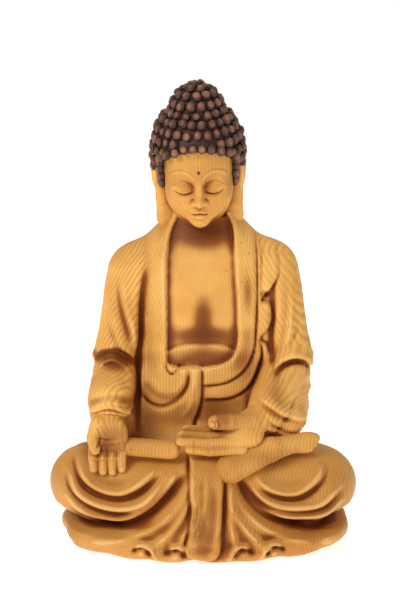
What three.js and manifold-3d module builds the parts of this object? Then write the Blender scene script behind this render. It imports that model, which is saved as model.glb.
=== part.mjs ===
// A seated, cross-legged figure about 300 mm tall, carved from joined blocks of wood.
// The lap is one block. The trunk stands on it in a front and a back half, with an upper-arm
// block on each side. Sleeves, hands, feet, head, hair cap, ears and the hanging front drape
// are let in or pegged on. A well is bored up the middle and closed by a screwed base board.
// Millimetres, +Z up, the figure faces -Y. The origin is the middle of the felt under the base.
import * as THREE from "three";
import { mergeVertices } from "three/addons/utils/BufferGeometryUtils.js";
import Module from "manifold-3d";

const wasm = await Module();
wasm.setup();

// ---- driving dimensions -------------------------------------------------------------------
const LAP_HEIGHT = 66; // floor to the seam between lap and trunk
const TRUNK_HEIGHT = 146; // that seam to the root of the neck
const KNEE_SPAN = 198; // across the knees
const KNEE_RADIUS = 27;
const KNEE_REACH = 10; // how far the knees' middles lie in front of the origin
const KNEE_RISE = 22; // top of the hem to the middle of a knee
const HIP_RADIUS = 31;
const HIP_SPREAD = 56; // between the hips' middles
const HIP_HEIGHT = 44;
const SHIN_REACH = 40; // how far the crossed shins lie in front of the origin
const SHIN_RADIUS = 25;
const SHIN_HEIGHT = 37;
const SEAT_DEPTH = 62; // origin to the back of the seat
const SEAT_SIZE = [60, 36, 42]; // half width, half depth and half height of the seat
const CORE_SIZE = [62, 50, 36]; // the same of the wood between the legs
const HEM_HEIGHT = 16; // spread hem of the robe on the floor
const HEM_SPAN = 178;
const HEM_DEPTH = 124;
// Sections of the hem: share of its height, then what is added to its half width and half depth.
const HEM_SECTIONS = [
  [-0.0625, -8, -3],
  [0.1875, -2, 1],
  [0.6, 0, 2],
  [1, -1, 0],
  [1.625, -16, -12],
];

const TRUNK_HALF_WIDTH = 51;
const TRUNK_HALF_DEPTH = 32;
const TRUNK_SETBACK = 9; // the trunk's middle behind the origin
// Sections of the torso: share of the trunk's height, then what is added to its half width, to
// its half depth and to its setback.
const TORSO_SECTIONS = [
  [-0.137, 2, 3, 4],
  [0.1, 0, 0, 3],
  [0.3, -1, -1, 1],
  [0.5, 1, 0, -1],
  [0.7, 3, 0, -2],
  [0.84, 2, -4, 0],
  [0.93, -5, -8, 1],
  [0.97, -13, -11, 0],
  [1, -22, -13, 0],
];
const SHOULDER_RADIUS = 20;
const ELBOW_RADIUS = 18;
const SIDE_SEAM = 46; // middle plane to the seam of the upper-arm blocks
const BACK_SEAM = 12; // origin to the seam between the trunk's halves
const CUFF_RADIUS = 14;
const SLEEVE_FALL = [20, 25, 21]; // half sizes of the left sleeve where it hangs in the lap

const NECK_RADIUS = 17;
const NECK_SOCKET = 14; // how deep the neck plugs into the trunk
const HEAD_RISE = 36; // root of the neck to the middle of the head
const HEAD_TILT = THREE.MathUtils.degToRad(9);
const FACE_HALF_WIDTH = 24.5;
const FACE_HALF_DEPTH = 26.5;
const FACE_HALF_HEIGHT = 31;
const SKULL_RADIUS = 28;
const TOPKNOT_RISE = 32; // middle of the head to the middle of the topknot
const TOPKNOT_RADIUS = 17;
const HAIRLINE_HEIGHT = 18; // middle of the head to the hairline at the brow
const DECK_SLOPE = THREE.MathUtils.degToRad(32); // hairline at the brow down to the nape
const HAIR_THICKNESS = 1.2; // of the cap beyond the skull, under the curls
const HAIR_PEG_LENGTH = 18;
const HEAD_STRETCH = 1.1; // front to back over side to side
const CURL_ROWS = 12;

const GLUE_LINE = 0.3; // gap between neighbouring blocks
const WELL_RADIUS = 13;
const WELL_TOP = 40; // solid wood left between the well and the root of the neck
const DOWEL_RADIUS = 4;
const DOWEL_LENGTH = 24;
const ARM_DOWEL_RADIUS = 3;
const ARM_DOWEL_LENGTH = 16;
const WRIST_PEG_RADIUS = 2.4;
const WRIST_PEG_LENGTH = 14;
const PIN_CLEARANCE = 0.15; // around every dowel, peg and screw
const HOLE_END = 0.6; // room past the ends of a dowel
const BOARD_HALF_WIDTH = 58;
const BOARD_HALF_DEPTH = 40;
const BOARD_THICKNESS = 6;
const BOARD_CLEARANCE = 0.5;
const FELT_THICKNESS = 1.5;
const FLOOR_CLEARANCE = 0.5; // wooden hem to the floor, taken up by the felt
const SCREW_RADIUS = 1.75;
const SCREW_HEAD_RADIUS = 3.6;
const SCREW_HEAD_HEIGHT = 2.2;
const SCREW_LENGTH = 20;
const SCREW_INSET = 7; // screw's middle to the board's edge along its depth
const DRAPE_HALF_WIDTH = 9;
const DRAPE_THICKNESS = 3;
const DRAPE_FOOT = 6; // floor to the foot of the hanging drape
const DRAPE_FLARE = 5; // how much wider it gets on each side near its foot
const FINGER_RADIUS = 2.9;
const FINGER_PITCH = 5.5;
const FINGER_TAPER = 0.4; // how much thinner a finger's tip is than its root
const THUMB_RADIUS = 3.9;
const HEEL_RADIUS = { right: 10.5, left: 8.5 };
const EAR_RIM_RADIUS = 3.6;
const EAR_NARROW_RADIUS = 3.2;
const EAR_LOBE_RADIUS = 4.6;
const EAR_STUB_RADIUS = 2.6;
const BEAD_RADIUS = 1.4;
const BEAD_HEIGHT = 3; // middle of the head to the bead
const BEAD_PROUD = 0.6; // the bead's middle in front of the brow

// ---- places worked out from them ----------------------------------------------------------
const NECK_ROOT = LAP_HEIGHT + TRUNK_HEIGHT;
const SIDES = { right: -1, left: 1 }; // the figure's own right is at -X
const FAR = 400;
const BIG_SIDES = 20;
const SMALL_SIDES = 10;

// ---- helpers: three.js geometry to solids and back ------------------------------------------
function solid(geometry) {
  geometry.deleteAttribute("normal");
  geometry.deleteAttribute("uv");
  const merged = mergeVertices(geometry, 1e-4);
  const corners = [];
  for (let i = 0; i < merged.index.count; i += 3) {
    const [a, b, c] = [0, 1, 2].map((k) => merged.index.getX(i + k));
    if (a !== b && b !== c && c !== a) corners.push(a, b, c);
  }
  return new wasm.Manifold(
    new wasm.Mesh({
      numProp: 3,
      vertProperties: merged.attributes.position.array,
      triVerts: new Uint32Array(corners),
    }),
  );
}

function geometryOf(manifold) {
  const { vertProperties, triVerts } = manifold.getMesh();
  const geometry = new THREE.BufferGeometry();
  geometry.setAttribute("position", new THREE.BufferAttribute(vertProperties, 3));
  geometry.setIndex(new THREE.BufferAttribute(triVerts, 1));
  const flat = geometry.toNonIndexed();
  flat.computeVertexNormals();
  return flat;
}

const join = (solids) => solids.reduce((all, next) => all.add(next));
const cut = (block, tools) => tools.reduce((left, tool) => left.subtract(tool), block);
const largest = (manifold) =>
  manifold.decompose().reduce((big, body) => (body.volume() > big.volume() ? body : big));

const UP = new THREE.Vector3(0, 1, 0);
const vec = (p) => new THREE.Vector3(...p);

// Stands a geometry that was made along +Y between two points, with its origin at the first.
function between(geometry, from, to) {
  const along = vec(to).sub(vec(from)).normalize();
  geometry.applyQuaternion(new THREE.Quaternion().setFromUnitVectors(UP, along));
  return geometry.translate(...from);
}

function box(low, high) {
  const size = high.map((value, k) => value - low[k]);
  const middle = high.map((value, k) => (value + low[k]) / 2);
  return solid(new THREE.BoxGeometry(...size).translate(...middle));
}

function ellipsoid(middle, semi, grow = 0, sides = BIG_SIDES) {
  const ball = new THREE.SphereGeometry(1, sides, Math.round(sides * 0.6)).rotateX(Math.PI / 2);
  return solid(ball.scale(...semi.map((r) => r + grow)).translate(...middle));
}

function cylinder(from, to, radius, sides = SMALL_SIDES) {
  const length = vec(to).distanceTo(vec(from));
  const body = new THREE.CylinderGeometry(radius, radius, length, sides);
  return solid(between(body.translate(0, length / 2, 0), from, to));
}

// A limb: two balls of different size and the cone that touches both.
function limb(from, fromRadius, to, toRadius, grow = 0, sides = 16) {
  const [low, high] = [fromRadius + grow, toRadius + grow];
  const length = vec(to).distanceTo(vec(from));
  const touch = Math.asin((low - high) / length);
  const steps = Math.round(sides / 4);
  const profile = [];
  const arc = (centre, radius, start, end) => {
    for (let i = 0; i <= steps; i++) {
      const angle = start + ((end - start) * i) / steps;
      profile.push(new THREE.Vector2(radius * Math.cos(angle), centre + radius * Math.sin(angle)));
    }
  };
  arc(0, low, -Math.PI / 2, touch);
  arc(length, high, touch, Math.PI / 2);
  profile[0].x = 0;
  profile[profile.length - 1].x = 0;
  return solid(between(new THREE.LatheGeometry(profile, sides), from, to));
}

// A stack of oval sections [height, half width, half depth, middle y], closed flat at both ends.
function ovalStack(sections, grow = 0, sides = BIG_SIDES + 6) {
  const rings = sections.map((_, i) => new THREE.Vector2(1, i));
  const profile = [new THREE.Vector2(0, 0), ...rings, new THREE.Vector2(0, rings.length - 1)];
  const geometry = new THREE.LatheGeometry(profile, sides).rotateX(Math.PI / 2);
  const place = geometry.getAttribute("position");
  for (let i = 0; i < place.count; i++) {
    const [height, halfWidth, halfDepth, middle] = sections[Math.round(place.getZ(i))];
    const x = place.getX(i) * (halfWidth + grow);
    const y = middle + place.getY(i) * (halfDepth + grow);
    place.setXYZ(i, x, y, height);
  }
  return solid(geometry);
}

// The outline of a plate as a closed shape in X and Z, given depth along Y.
function plateAcross(outline, near, far) {
  const shape = new THREE.Shape(outline.map(([x, z]) => new THREE.Vector2(x, z)));
  const plate = new THREE.ExtrudeGeometry(shape, { depth: far - near, bevelEnabled: false });
  return solid(plate.rotateX(Math.PI / 2).translate(0, far, 0));
}

// An oval plate lying flat, from one height to another.
function ovalPlate(halfWidth, halfDepth, middleY, low, high) {
  const shape = new THREE.Shape();
  shape.absellipse(0, middleY, halfWidth, halfDepth, 0, Math.PI * 2);
  const options = { depth: high - low, bevelEnabled: false, curveSegments: 14 };
  return solid(new THREE.ExtrudeGeometry(shape, options).translate(0, 0, low));
}

const slab = (axis, low, high) => {
  const from = [-FAR, -FAR, -FAR];
  const to = [FAR, FAR, FAR];
  from[axis] = low;
  to[axis] = high;
  return box(from, to);
};

// ---- carved forms, before they are cut into blocks ----------------------------------------
const knee = (side) => [side * (KNEE_SPAN / 2 - KNEE_RADIUS), -KNEE_REACH, HEM_HEIGHT + KNEE_RISE];
const hip = (side) => [(side * HIP_SPREAD) / 2, SEAT_DEPTH - 38, HIP_HEIGHT];
const shinStart = (side) => [knee(side)[0] - side * 7, -KNEE_REACH - 12, SHIN_HEIGHT + 1];
const shinEnd = [0, -SHIN_REACH, SHIN_HEIGHT];

function lapForm(grow = 0) {
  const legs = Object.values(SIDES).flatMap((side) => [
    limb(hip(side), HIP_RADIUS, knee(side), KNEE_RADIUS, grow),
    limb(shinStart(side), SHIN_RADIUS + 1, shinEnd, SHIN_RADIUS, grow),
  ]);
  const seat = ellipsoid([0, SEAT_DEPTH - SEAT_SIZE[1], SEAT_SIZE[2] - 2], SEAT_SIZE, grow);
  const core = ellipsoid([0, 0, CORE_SIZE[2] - 2], CORE_SIZE, grow);
  const middle = (SEAT_DEPTH - SHIN_REACH - SHIN_RADIUS) / 2;
  const sections = HEM_SECTIONS.map(([share, wider, deeper]) => {
    const height = HEM_HEIGHT * share - (share < 0 ? grow : 0);
    return [height, HEM_SPAN / 2 + wider, HEM_DEPTH / 2 + deeper, middle];
  });
  const hem = ovalStack(sections, grow);
  return join([...legs, seat, core, hem]);
}

const shoulder = (side) => [side * (TRUNK_HALF_WIDTH - 10), TRUNK_SETBACK - 1, NECK_ROOT - 28];
const elbow = (side) => [side * (TRUNK_HALF_WIDTH + 3), TRUNK_SETBACK - 7, LAP_HEIGHT + 49];
const sleeveFoot = (side) => [side * (TRUNK_HALF_WIDTH + 5), TRUNK_SETBACK - 5, LAP_HEIGHT + 14];

function trunkForm() {
  const sections = TORSO_SECTIONS.map(([share, wider, deeper, back]) => [
    LAP_HEIGHT + TRUNK_HEIGHT * share,
    TRUNK_HALF_WIDTH + wider,
    TRUNK_HALF_DEPTH + deeper,
    TRUNK_SETBACK + back,
  ]);
  const torso = ovalStack(sections);
  const arms = Object.values(SIDES).flatMap((side) => [
    limb(shoulder(side), SHOULDER_RADIUS, elbow(side), ELBOW_RADIUS),
    limb(elbow(side), ELBOW_RADIUS, sleeveFoot(side), SHOULDER_RADIUS + 3),
  ]);
  return join([torso, ...arms]);
}

// Right sleeve reaches forward to a cuff over the knee, left sleeve turns in to the lap.
const WRISTS = {
  right: [-(TRUNK_HALF_WIDTH + 7), -34, LAP_HEIGHT + 33],
  left: [TRUNK_HALF_WIDTH - 13, -35, LAP_HEIGHT + 23],
};
const ELBOW_CUT = TRUNK_SETBACK - 11; // plane where a sleeve meets its upper-arm block

function sleeveForm(name, grow = 0) {
  const side = SIDES[name];
  const forearm = limb(elbow(side), ELBOW_RADIUS, WRISTS[name], CUFF_RADIUS, grow);
  const fall = side * (TRUNK_HALF_WIDTH + 5);
  const hanging =
    name === "left" ? [ellipsoid([fall, -14, LAP_HEIGHT + 20], SLEEVE_FALL, grow)] : [];
  const reach = slab(1, -FAR, ELBOW_CUT - GLUE_LINE + grow);
  const above = slab(2, LAP_HEIGHT + GLUE_LINE / 2, FAR);
  return join([forearm, ...hanging]).intersect(reach).intersect(above);
}

// Right palm faces forward with the fingers down; left palm lies open in the lap. Places are
// measured from the wrist, the fingers lie side by side along one axis and fan out or in.
const HANDS = {
  right: {
    palm: [-1, -8, -20],
    size: [12.5, 7, 14.5],
    knuckles: [-1, -12, -28],
    tips: [-1, -13, -42],
    across: 0,
    fan: 1.04,
    thumb: [[-9, -12, -14], [-12, -13, -28]],
    peg: { middle: [0, -5, -9], direction: [0, -0.35, -1] },
  },
  left: {
    palm: [-18, -9, -11],
    size: [17, 12, 7],
    knuckles: [-28, -9, -11],
    tips: [-52, -10, -11],
    across: 1,
    fan: 0.9,
    thumb: [[-12, -10, -5], [-32, -12, -1]],
    peg: { middle: [-9, -5, -6], direction: [-1, -0.3, -0.5] },
  },
};
const fromWrist = (name, step) => WRISTS[name].map((value, k) => value + step[k]);

function handForm(name, grow = 0) {
  const { palm, size, knuckles, tips, across, fan, thumb } = HANDS[name];
  const finger = (place) => {
    const root = fromWrist(name, knuckles);
    const tip = fromWrist(name, tips);
    root[across] += place * FINGER_PITCH;
    tip[across] += place * FINGER_PITCH * fan;
    return limb(root, FINGER_RADIUS, tip, FINGER_RADIUS - FINGER_TAPER, grow, 8);
  };
  const [thumbRoot, thumbTip] = thumb.map((step) => fromWrist(name, step));
  return join([
    ellipsoid(fromWrist(name, palm), size, grow, 12),
    ...[-1.5, -0.5, 0.5, 1.5].map(finger),
    limb(thumbRoot, THUMB_RADIUS, thumbTip, THUMB_RADIUS - FINGER_TAPER, grow, 8),
  ]);
}

const FEET = {
  left: {
    heel: [-15, -SHIN_REACH - 3, LAP_HEIGHT + 3],
    toes: [-46, -SHIN_REACH + 4, LAP_HEIGHT + 2],
  },
  right: {
    heel: [13, -SHIN_REACH - 13, LAP_HEIGHT - 10],
    toes: [78, -SHIN_REACH + 16, LAP_HEIGHT + 1],
  },
};
const footForm = (name, grow = 0) =>
  limb(FEET[name].heel, HEEL_RADIUS[name], FEET[name].toes, HEEL_RADIUS[name] - 3, grow, 12);

// The hanging drape follows the lap's face between the shins, wider at its rounded foot.
function drapeOutline(grow = 0) {
  const half = DRAPE_HALF_WIDTH + grow;
  const arcMiddle = DRAPE_FOOT + 3;
  const points = [
    [-half, LAP_HEIGHT - 4 + grow],
    [-half, LAP_HEIGHT - 40],
    [-half - DRAPE_FLARE, arcMiddle + 6],
    [-half - DRAPE_FLARE + 1, arcMiddle - grow],
  ];
  const rounded = [150, 120, 90, 60, 30].map((degrees) => {
    const angle = THREE.MathUtils.degToRad(degrees);
    return [(half + 3) * Math.cos(angle), arcMiddle - grow - 3 * Math.sin(angle)];
  });
  const mirrored = points.map(([x, z]) => [-x, z]).reverse();
  return [...points, ...rounded, ...mirrored];
}

// ---- the head, in its own tilted frame ------------------------------------------------------
const head = new THREE.Group();
head.position.set(0, -6, NECK_ROOT + HEAD_RISE);
head.rotation.x = HEAD_TILT;
head.updateMatrixWorld(true);
const toHead = (p) => vec(p).applyMatrix4(head.matrixWorld.clone().invert()).toArray();
const neckFoot = [0, TRUNK_SETBACK - 5, NECK_ROOT - NECK_SOCKET];
const neckTop = [0, TRUNK_SETBACK - 8, NECK_ROOT + 24];

const headMiddle = 5; // the skull's and the topknot's axis behind the middle of the head
const skullSemi = [SKULL_RADIUS, SKULL_RADIUS * HEAD_STRETCH, SKULL_RADIUS + 2];
const SKULL_MIDDLE = [0, headMiddle, 10];
// front edge of the deck that the hair cap stands on
const HAIRLINE = [0, headMiddle + 0.8 - skullSemi[1], HAIRLINE_HEIGHT];
const deckHeight = (y) => HAIRLINE[2] - (y - HAIRLINE[1]) * Math.tan(DECK_SLOPE);

// Everything on one side of the sloping deck, shifted along its normal.
function deckSide(above, shift = 0) {
  const half = new THREE.BoxGeometry(FAR, FAR, FAR);
  half.translate(0, 0, (above ? 1 : -1) * (FAR / 2 + shift));
  half.rotateX(-DECK_SLOPE);
  return solid(half.translate(...HAIRLINE));
}

const FACE_MIDDLE = [0, -1, -3];
const FACE_SIZE = [FACE_HALF_WIDTH, FACE_HALF_DEPTH, FACE_HALF_HEIGHT];

// How far forward the head's middle line reaches at a height: the face or the skull.
function headFront(height) {
  const front = ([, y, z], [, depth, rise]) => y - depth * Math.sqrt(1 - ((height - z) / rise) ** 2);
  return Math.min(front(FACE_MIDDLE, FACE_SIZE), front(SKULL_MIDDLE, skullSemi));
}

function headForm() {
  const face = ellipsoid(FACE_MIDDLE, FACE_SIZE);
  const chin = ellipsoid([0, -12, -23], [14, 12.5, 11.5], 0, 18);
  const nose = limb([0, -26, -3], 2, [0, -29.5, -15], 3.6, 0, 10);
  const skull = ellipsoid(SKULL_MIDDLE, skullSemi);
  const neck = cylinder(toHead(neckFoot), toHead(neckTop), NECK_RADIUS, 24);
  return join([face, chin, nose, skull, neck]);
}

// The hair's outline in radius and height, as seen at an angle from a point on its axis: the
// farther of the skull's and the topknot's ovals.
const hairAxisPoint = (SKULL_MIDDLE[2] + TOPKNOT_RISE) / 2;
function hairOutline(angle) {
  const [out, up] = [Math.cos(angle), Math.sin(angle)];
  const reach = ([middle, radius, rise]) => {
    const low = hairAxisPoint - middle;
    const a = (out / radius) ** 2 + (up / rise) ** 2;
    const b = (low * up) / rise ** 2;
    const c = (low / rise) ** 2 - 1;
    return (-b + Math.sqrt(b * b - a * c)) / a;
  };
  const far = Math.max(
    ...[
      [SKULL_MIDDLE[2], skullSemi[0] + HAIR_THICKNESS, skullSemi[2] + HAIR_THICKNESS],
      [TOPKNOT_RISE, TOPKNOT_RADIUS, TOPKNOT_RADIUS + 1],
    ].map(reach),
  );
  return new THREE.Vector2(far * out, hairAxisPoint + far * up);
}

// A profile turned about the head's axis and stretched from front to back.
function turned(profile, sides) {
  const geometry = new THREE.LatheGeometry(profile, sides).rotateX(Math.PI / 2);
  return geometry.scale(1, HEAD_STRETCH, 1).translate(0, headMiddle, 0);
}

function hairForm() {
  const steps = 16;
  const outline = Array.from({ length: steps + 1 }, (_, i) =>
    hairOutline(-Math.PI / 2 + (Math.PI * i) / steps),
  );
  outline[0].x = 0;
  outline[steps].x = 0;
  return solid(turned(outline, BIG_SIDES + 8));
}

// Points at even distances along the outline from the nape to the crown, one for each row.
const NAPE_ANGLE = THREE.MathUtils.degToRad(-52);
const rowPoints = (() => {
  const fine = 600;
  const points = Array.from({ length: fine + 1 }, (_, i) =>
    hairOutline(NAPE_ANGLE + ((Math.PI / 2 - NAPE_ANGLE) * i) / fine),
  );
  const lengths = [0];
  for (let i = 1; i <= fine; i++)
    lengths.push(lengths[i - 1] + points[i].distanceTo(points[i - 1]));
  const pitch = lengths[fine] / CURL_ROWS;
  const nearest = (length) => {
    const found = lengths.findIndex((reached) => reached >= length);
    return points[found < 0 ? fine : found];
  };
  const rows = Array.from({ length: CURL_ROWS }, (_, row) => {
    const at = nearest(pitch * row);
    const [low, high] = [nearest(pitch * (row - 0.5)), nearest(pitch * (row + 0.5))];
    const along = high.clone().sub(low).normalize();
    const out = new THREE.Vector2(along.y, -along.x);
    const hollow = low.clone().add(high).multiplyScalar(0.5).sub(at).dot(out);
    return { base: at.clone().addScaledVector(out, GLUE_LINE + Math.max(0, hollow)), along, out };
  });
  return Object.assign(rows, { pitch });
})();
const CURL_RADIUS = rowPoints.pitch / 2 - GLUE_LINE;

// A row of planted curls as one beaded strip of half-round section, lying on the hair cap.
function curlRow(row) {
  const { base, along, out } = rowPoints[row];
  const beads = Math.max(6, Math.round((2 * Math.PI * base.x) / (2 * CURL_RADIUS)));
  const halfRound = [-90, -45, 0, 45, 90].map((degrees) => {
    const angle = THREE.MathUtils.degToRad(degrees);
    return [Math.sin(angle), Math.cos(angle)];
  });
  const profile = [...halfRound, halfRound[0]].map(([up, away]) =>
    base.clone().addScaledVector(along, up * CURL_RADIUS).addScaledVector(out, away * CURL_RADIUS),
  );
  const strip = new THREE.LatheGeometry(profile, beads * 2).rotateX(Math.PI / 2);
  const place = strip.getAttribute("position");
  for (let i = 0; i < place.count; i++) {
    const [x, y, z] = [place.getX(i), place.getY(i), place.getZ(i)];
    if (Math.round((Math.atan2(x, -y) / Math.PI) * beads) % 2 === 0) continue;
    const offset = new THREE.Vector2(Math.hypot(x, y), z).sub(base);
    const shrink = out.clone().multiplyScalar(-0.45 * Math.max(0, offset.dot(out)));
    const reach = 1 + shrink.x / Math.hypot(x, y);
    place.setXYZ(i, x * reach, y * reach, z + shrink.y);
  }
  return solid(strip.scale(1, HEAD_STRETCH, 1).translate(0, headMiddle, 0)).intersect(
    deckSide(true, GLUE_LINE),
  );
}

function crownCurl() {
  const top = hairOutline(Math.PI / 2).y + GLUE_LINE;
  const ball = ellipsoid([0, headMiddle, top], [1, 1, 1].map(() => CURL_RADIUS), 0, 10);
  return ball.intersect(slab(2, top, FAR));
}

function earForm(side, grow = 0) {
  const top = [side * (SKULL_RADIUS + 2), 4, 7];
  const middle = [side * SKULL_RADIUS, 5, -12];
  const foot = [side * FACE_HALF_WIDTH, 1, -30];
  const stubRoot = [side * (FACE_HALF_WIDTH - 8.5), 5, -2];
  const stubEnd = [side * (SKULL_RADIUS + 1), 5, -2];
  const rim = limb(top, EAR_RIM_RADIUS, middle, EAR_NARROW_RADIUS, grow, 10);
  const lobe = limb(middle, EAR_NARROW_RADIUS, foot, EAR_LOBE_RADIUS, grow, 10);
  const stub = cylinder(stubRoot, stubEnd, EAR_STUB_RADIUS + grow);
  return join([rim, lobe, stub]);
}

// ---- dowels, pegs and screws ----------------------------------------------------------------
const pins = [];
function pin(name, middle, direction, radius, length) {
  pins.push({ name, middle, direction: vec(direction).normalize(), radius, length });
}

function pinHole({ middle, direction, radius, length }) {
  const reach = direction.clone().multiplyScalar(length / 2 + HOLE_END);
  const from = vec(middle).sub(reach).toArray();
  const to = vec(middle).add(reach).toArray();
  return cylinder(from, to, radius + PIN_CLEARANCE);
}

const lapDowelX = (SIDE_SEAM + WELL_RADIUS) / 2;
const lapDowelY = { front: BACK_SEAM - 17, back: BACK_SEAM + 17 };
const trunkDowelX = WELL_RADIUS + DOWEL_RADIUS + 5;
const trunkDowelShare = { lower: 0.27, upper: 0.68 }; // of the trunk's height
const armDowelShare = { lower: 0.4, upper: 0.8 };
for (const [name, side] of Object.entries(SIDES)) {
  for (const [place, y] of Object.entries(lapDowelY)) {
    const middle = [side * lapDowelX, y, LAP_HEIGHT];
    pin(`lap_dowel_${place}_${name}`, middle, [0, 0, 1], DOWEL_RADIUS, DOWEL_LENGTH);
  }
  for (const [place, share] of Object.entries(trunkDowelShare)) {
    const middle = [side * trunkDowelX, BACK_SEAM, LAP_HEIGHT + TRUNK_HEIGHT * share];
    pin(`trunk_dowel_${place}_${name}`, middle, [0, 1, 0], DOWEL_RADIUS, DOWEL_LENGTH);
  }
  for (const [place, share] of Object.entries(armDowelShare)) {
    const middle = [side * SIDE_SEAM, TRUNK_SETBACK - 8, LAP_HEIGHT + TRUNK_HEIGHT * share];
    pin(`arm_dowel_${place}_${name}`, middle, [1, 0, 0], ARM_DOWEL_RADIUS, ARM_DOWEL_LENGTH);
  }
  const elbowMiddle = [side * (TRUNK_HALF_WIDTH + 4), ELBOW_CUT, LAP_HEIGHT + 45];
  pin(`elbow_dowel_${name}`, elbowMiddle, [0, 1, 0], ARM_DOWEL_RADIUS, ARM_DOWEL_LENGTH);
}
for (const [name, { peg }] of Object.entries(HANDS)) {
  const middle = fromWrist(name, peg.middle);
  pin(`wrist_peg_${name}`, middle, peg.direction, WRIST_PEG_RADIUS, WRIST_PEG_LENGTH);
}

const boardTop = FELT_THICKNESS + BOARD_THICKNESS;
const boardMiddle = BACK_SEAM - 4;
const screws = [45, 135, 225, 315].map((degrees, i) => {
  const angle = THREE.MathUtils.degToRad(degrees);
  return {
    name: `base_screw_${i + 1}`,
    x: (BOARD_HALF_WIDTH - SCREW_INSET - 1) * Math.cos(angle),
    y: boardMiddle + (BOARD_HALF_DEPTH - SCREW_INSET) * Math.sin(angle),
  };
});

// A countersunk screw with its head at the bottom, pointing up.
function screwGeometry(grow = 0) {
  const shank = SCREW_RADIUS + grow;
  const rim = SCREW_HEAD_RADIUS + grow;
  const profile = [
    [0, -grow],
    [rim, -grow],
    [rim, 0.5],
    [shank, SCREW_HEAD_HEIGHT + grow],
    [shank, SCREW_LENGTH - 2],
    [0, SCREW_LENGTH + 2 * grow],
  ].map(([x, y]) => new THREE.Vector2(x, y));
  return new THREE.LatheGeometry(profile, SMALL_SIDES).rotateX(Math.PI / 2);
}
const SCREW_FOOT = FELT_THICKNESS + 2 * PIN_CLEARANCE;

// ---- cutting the forms into blocks ----------------------------------------------------------
const gap = GLUE_LINE / 2;
const belowSeam = slab(2, FLOOR_CLEARANCE, LAP_HEIGHT - gap);
const aboveSeam = slab(2, LAP_HEIGHT + gap, NECK_ROOT);
const frontHalf = slab(1, -FAR, BACK_SEAM - gap);
const backHalf = slab(1, BACK_SEAM + gap, FAR);
const middleStrip = slab(0, -SIDE_SEAM + gap, SIDE_SEAM - gap);
const outer = { right: slab(0, -FAR, -SIDE_SEAM - gap), left: slab(0, SIDE_SEAM + gap, FAR) };

const letIn = [
  ...Object.keys(SIDES).map((name) => handForm(name, GLUE_LINE)),
  ...Object.keys(SIDES).map((name) => footForm(name, GLUE_LINE)),
];
const sleeveRoom = Object.keys(SIDES).map((name) => sleeveForm(name, GLUE_LINE));
const pinHoles = pins.map(pinHole);
const screwHoles = screws.map(({ x, y }) =>
  solid(screwGeometry(PIN_CLEARANCE).translate(x, y, SCREW_FOOT)),
);
const well = cylinder([0, BACK_SEAM, 0], [0, BACK_SEAM, NECK_ROOT - WELL_TOP], WELL_RADIUS, 20);
const neckRoom = cylinder(
  [0, neckFoot[1], neckFoot[2] - GLUE_LINE],
  neckTop,
  NECK_RADIUS + GLUE_LINE,
  24,
);
const rebate = ovalPlate(
  BOARD_HALF_WIDTH + BOARD_CLEARANCE,
  BOARD_HALF_DEPTH + BOARD_CLEARANCE,
  boardMiddle,
  -1,
  boardTop + GLUE_LINE,
);

const blocks = {};
const lap = lapForm();
const trunk = trunkForm();
blocks.lap_block = cut(lap.intersect(belowSeam), [
  rebate,
  well,
  ...letIn,
  ...sleeveRoom,
  ...pinHoles,
  ...screwHoles,
]);
const core = cut(trunk.intersect(aboveSeam).intersect(middleStrip), [
  well,
  neckRoom,
  ...letIn,
  ...sleeveRoom,
  ...pinHoles,
]);
blocks.trunk_front = core.intersect(frontHalf);
blocks.trunk_back = core.intersect(backHalf);
for (const name of Object.keys(SIDES)) {
  const arm = trunk.intersect(aboveSeam).intersect(outer[name]);
  blocks[`upper_arm_${name}`] = cut(arm, [...letIn, ...sleeveRoom, ...pinHoles]);
  blocks[`sleeve_${name}`] = cut(sleeveForm(name), [...letIn, ...pinHoles]);
  blocks[`foot_${name}`] = cut(footForm(name), [
    handForm("left", GLUE_LINE),
    handForm("right", GLUE_LINE),
    ...sleeveRoom,
  ]);
  blocks[`hand_${name}`] = cut(handForm(name), pinHoles);
}
blocks.front_drape = cut(
  plateAcross(drapeOutline(), -FAR, -SHIN_REACH)
    .intersect(lapForm(DRAPE_THICKNESS + GLUE_LINE))
    .intersect(slab(2, FLOOR_CLEARANCE, FAR)),
  [lapForm(GLUE_LINE), ...letIn],
);

const earRoom = Object.values(SIDES).map((side) => earForm(side, GLUE_LINE));
const beadPlace = [0, headFront(BEAD_HEIGHT) - BEAD_PROUD, BEAD_HEIGHT];
const beadRoom = ellipsoid(beadPlace, [BEAD_RADIUS, BEAD_RADIUS, BEAD_RADIUS], GLUE_LINE, 8);
const hairPegMiddle = [0, headMiddle, deckHeight(headMiddle)];
const hairPegRoom = pinHole({
  middle: hairPegMiddle,
  direction: vec([0, 0, 1]),
  radius: DOWEL_RADIUS,
  length: HAIR_PEG_LENGTH,
});
const headBlocks = {};
headBlocks.head_block = cut(headForm().intersect(deckSide(false, gap)), [
  ...earRoom,
  beadRoom,
  hairPegRoom,
]);
headBlocks.hair_cap = cut(hairForm().intersect(deckSide(true, gap)), [...earRoom, hairPegRoom]);
rowPoints.forEach((_, row) => {
  headBlocks[`curl_row_${row + 1}`] = cut(curlRow(row), earRoom);
});
headBlocks.curl_crown = crownCurl();
for (const [name, side] of Object.entries(SIDES)) headBlocks[`ear_${name}`] = earForm(side);

// ---- the assembly -----------------------------------------------------------------------------
const MATERIALS = {
  wood: { color: 0xc8863f, roughness: 0.5 },
  hair: { color: 0x4a261a, roughness: 0.65 },
  dowel: { color: 0xd9b27a, roughness: 0.7 },
  bead: { color: 0x6b3f22, roughness: 0.35 },
  board: { color: 0xb98a55, roughness: 0.8 },
  felt: { color: 0x3b2a20, roughness: 1 },
  brass: { color: 0xb08d4a, roughness: 0.35, metalness: 1 },
};

function mesh(name, geometry, material) {
  const made = new THREE.Mesh(geometry, new THREE.MeshStandardMaterial(MATERIALS[material]));
  made.name = name;
  return made;
}

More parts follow.
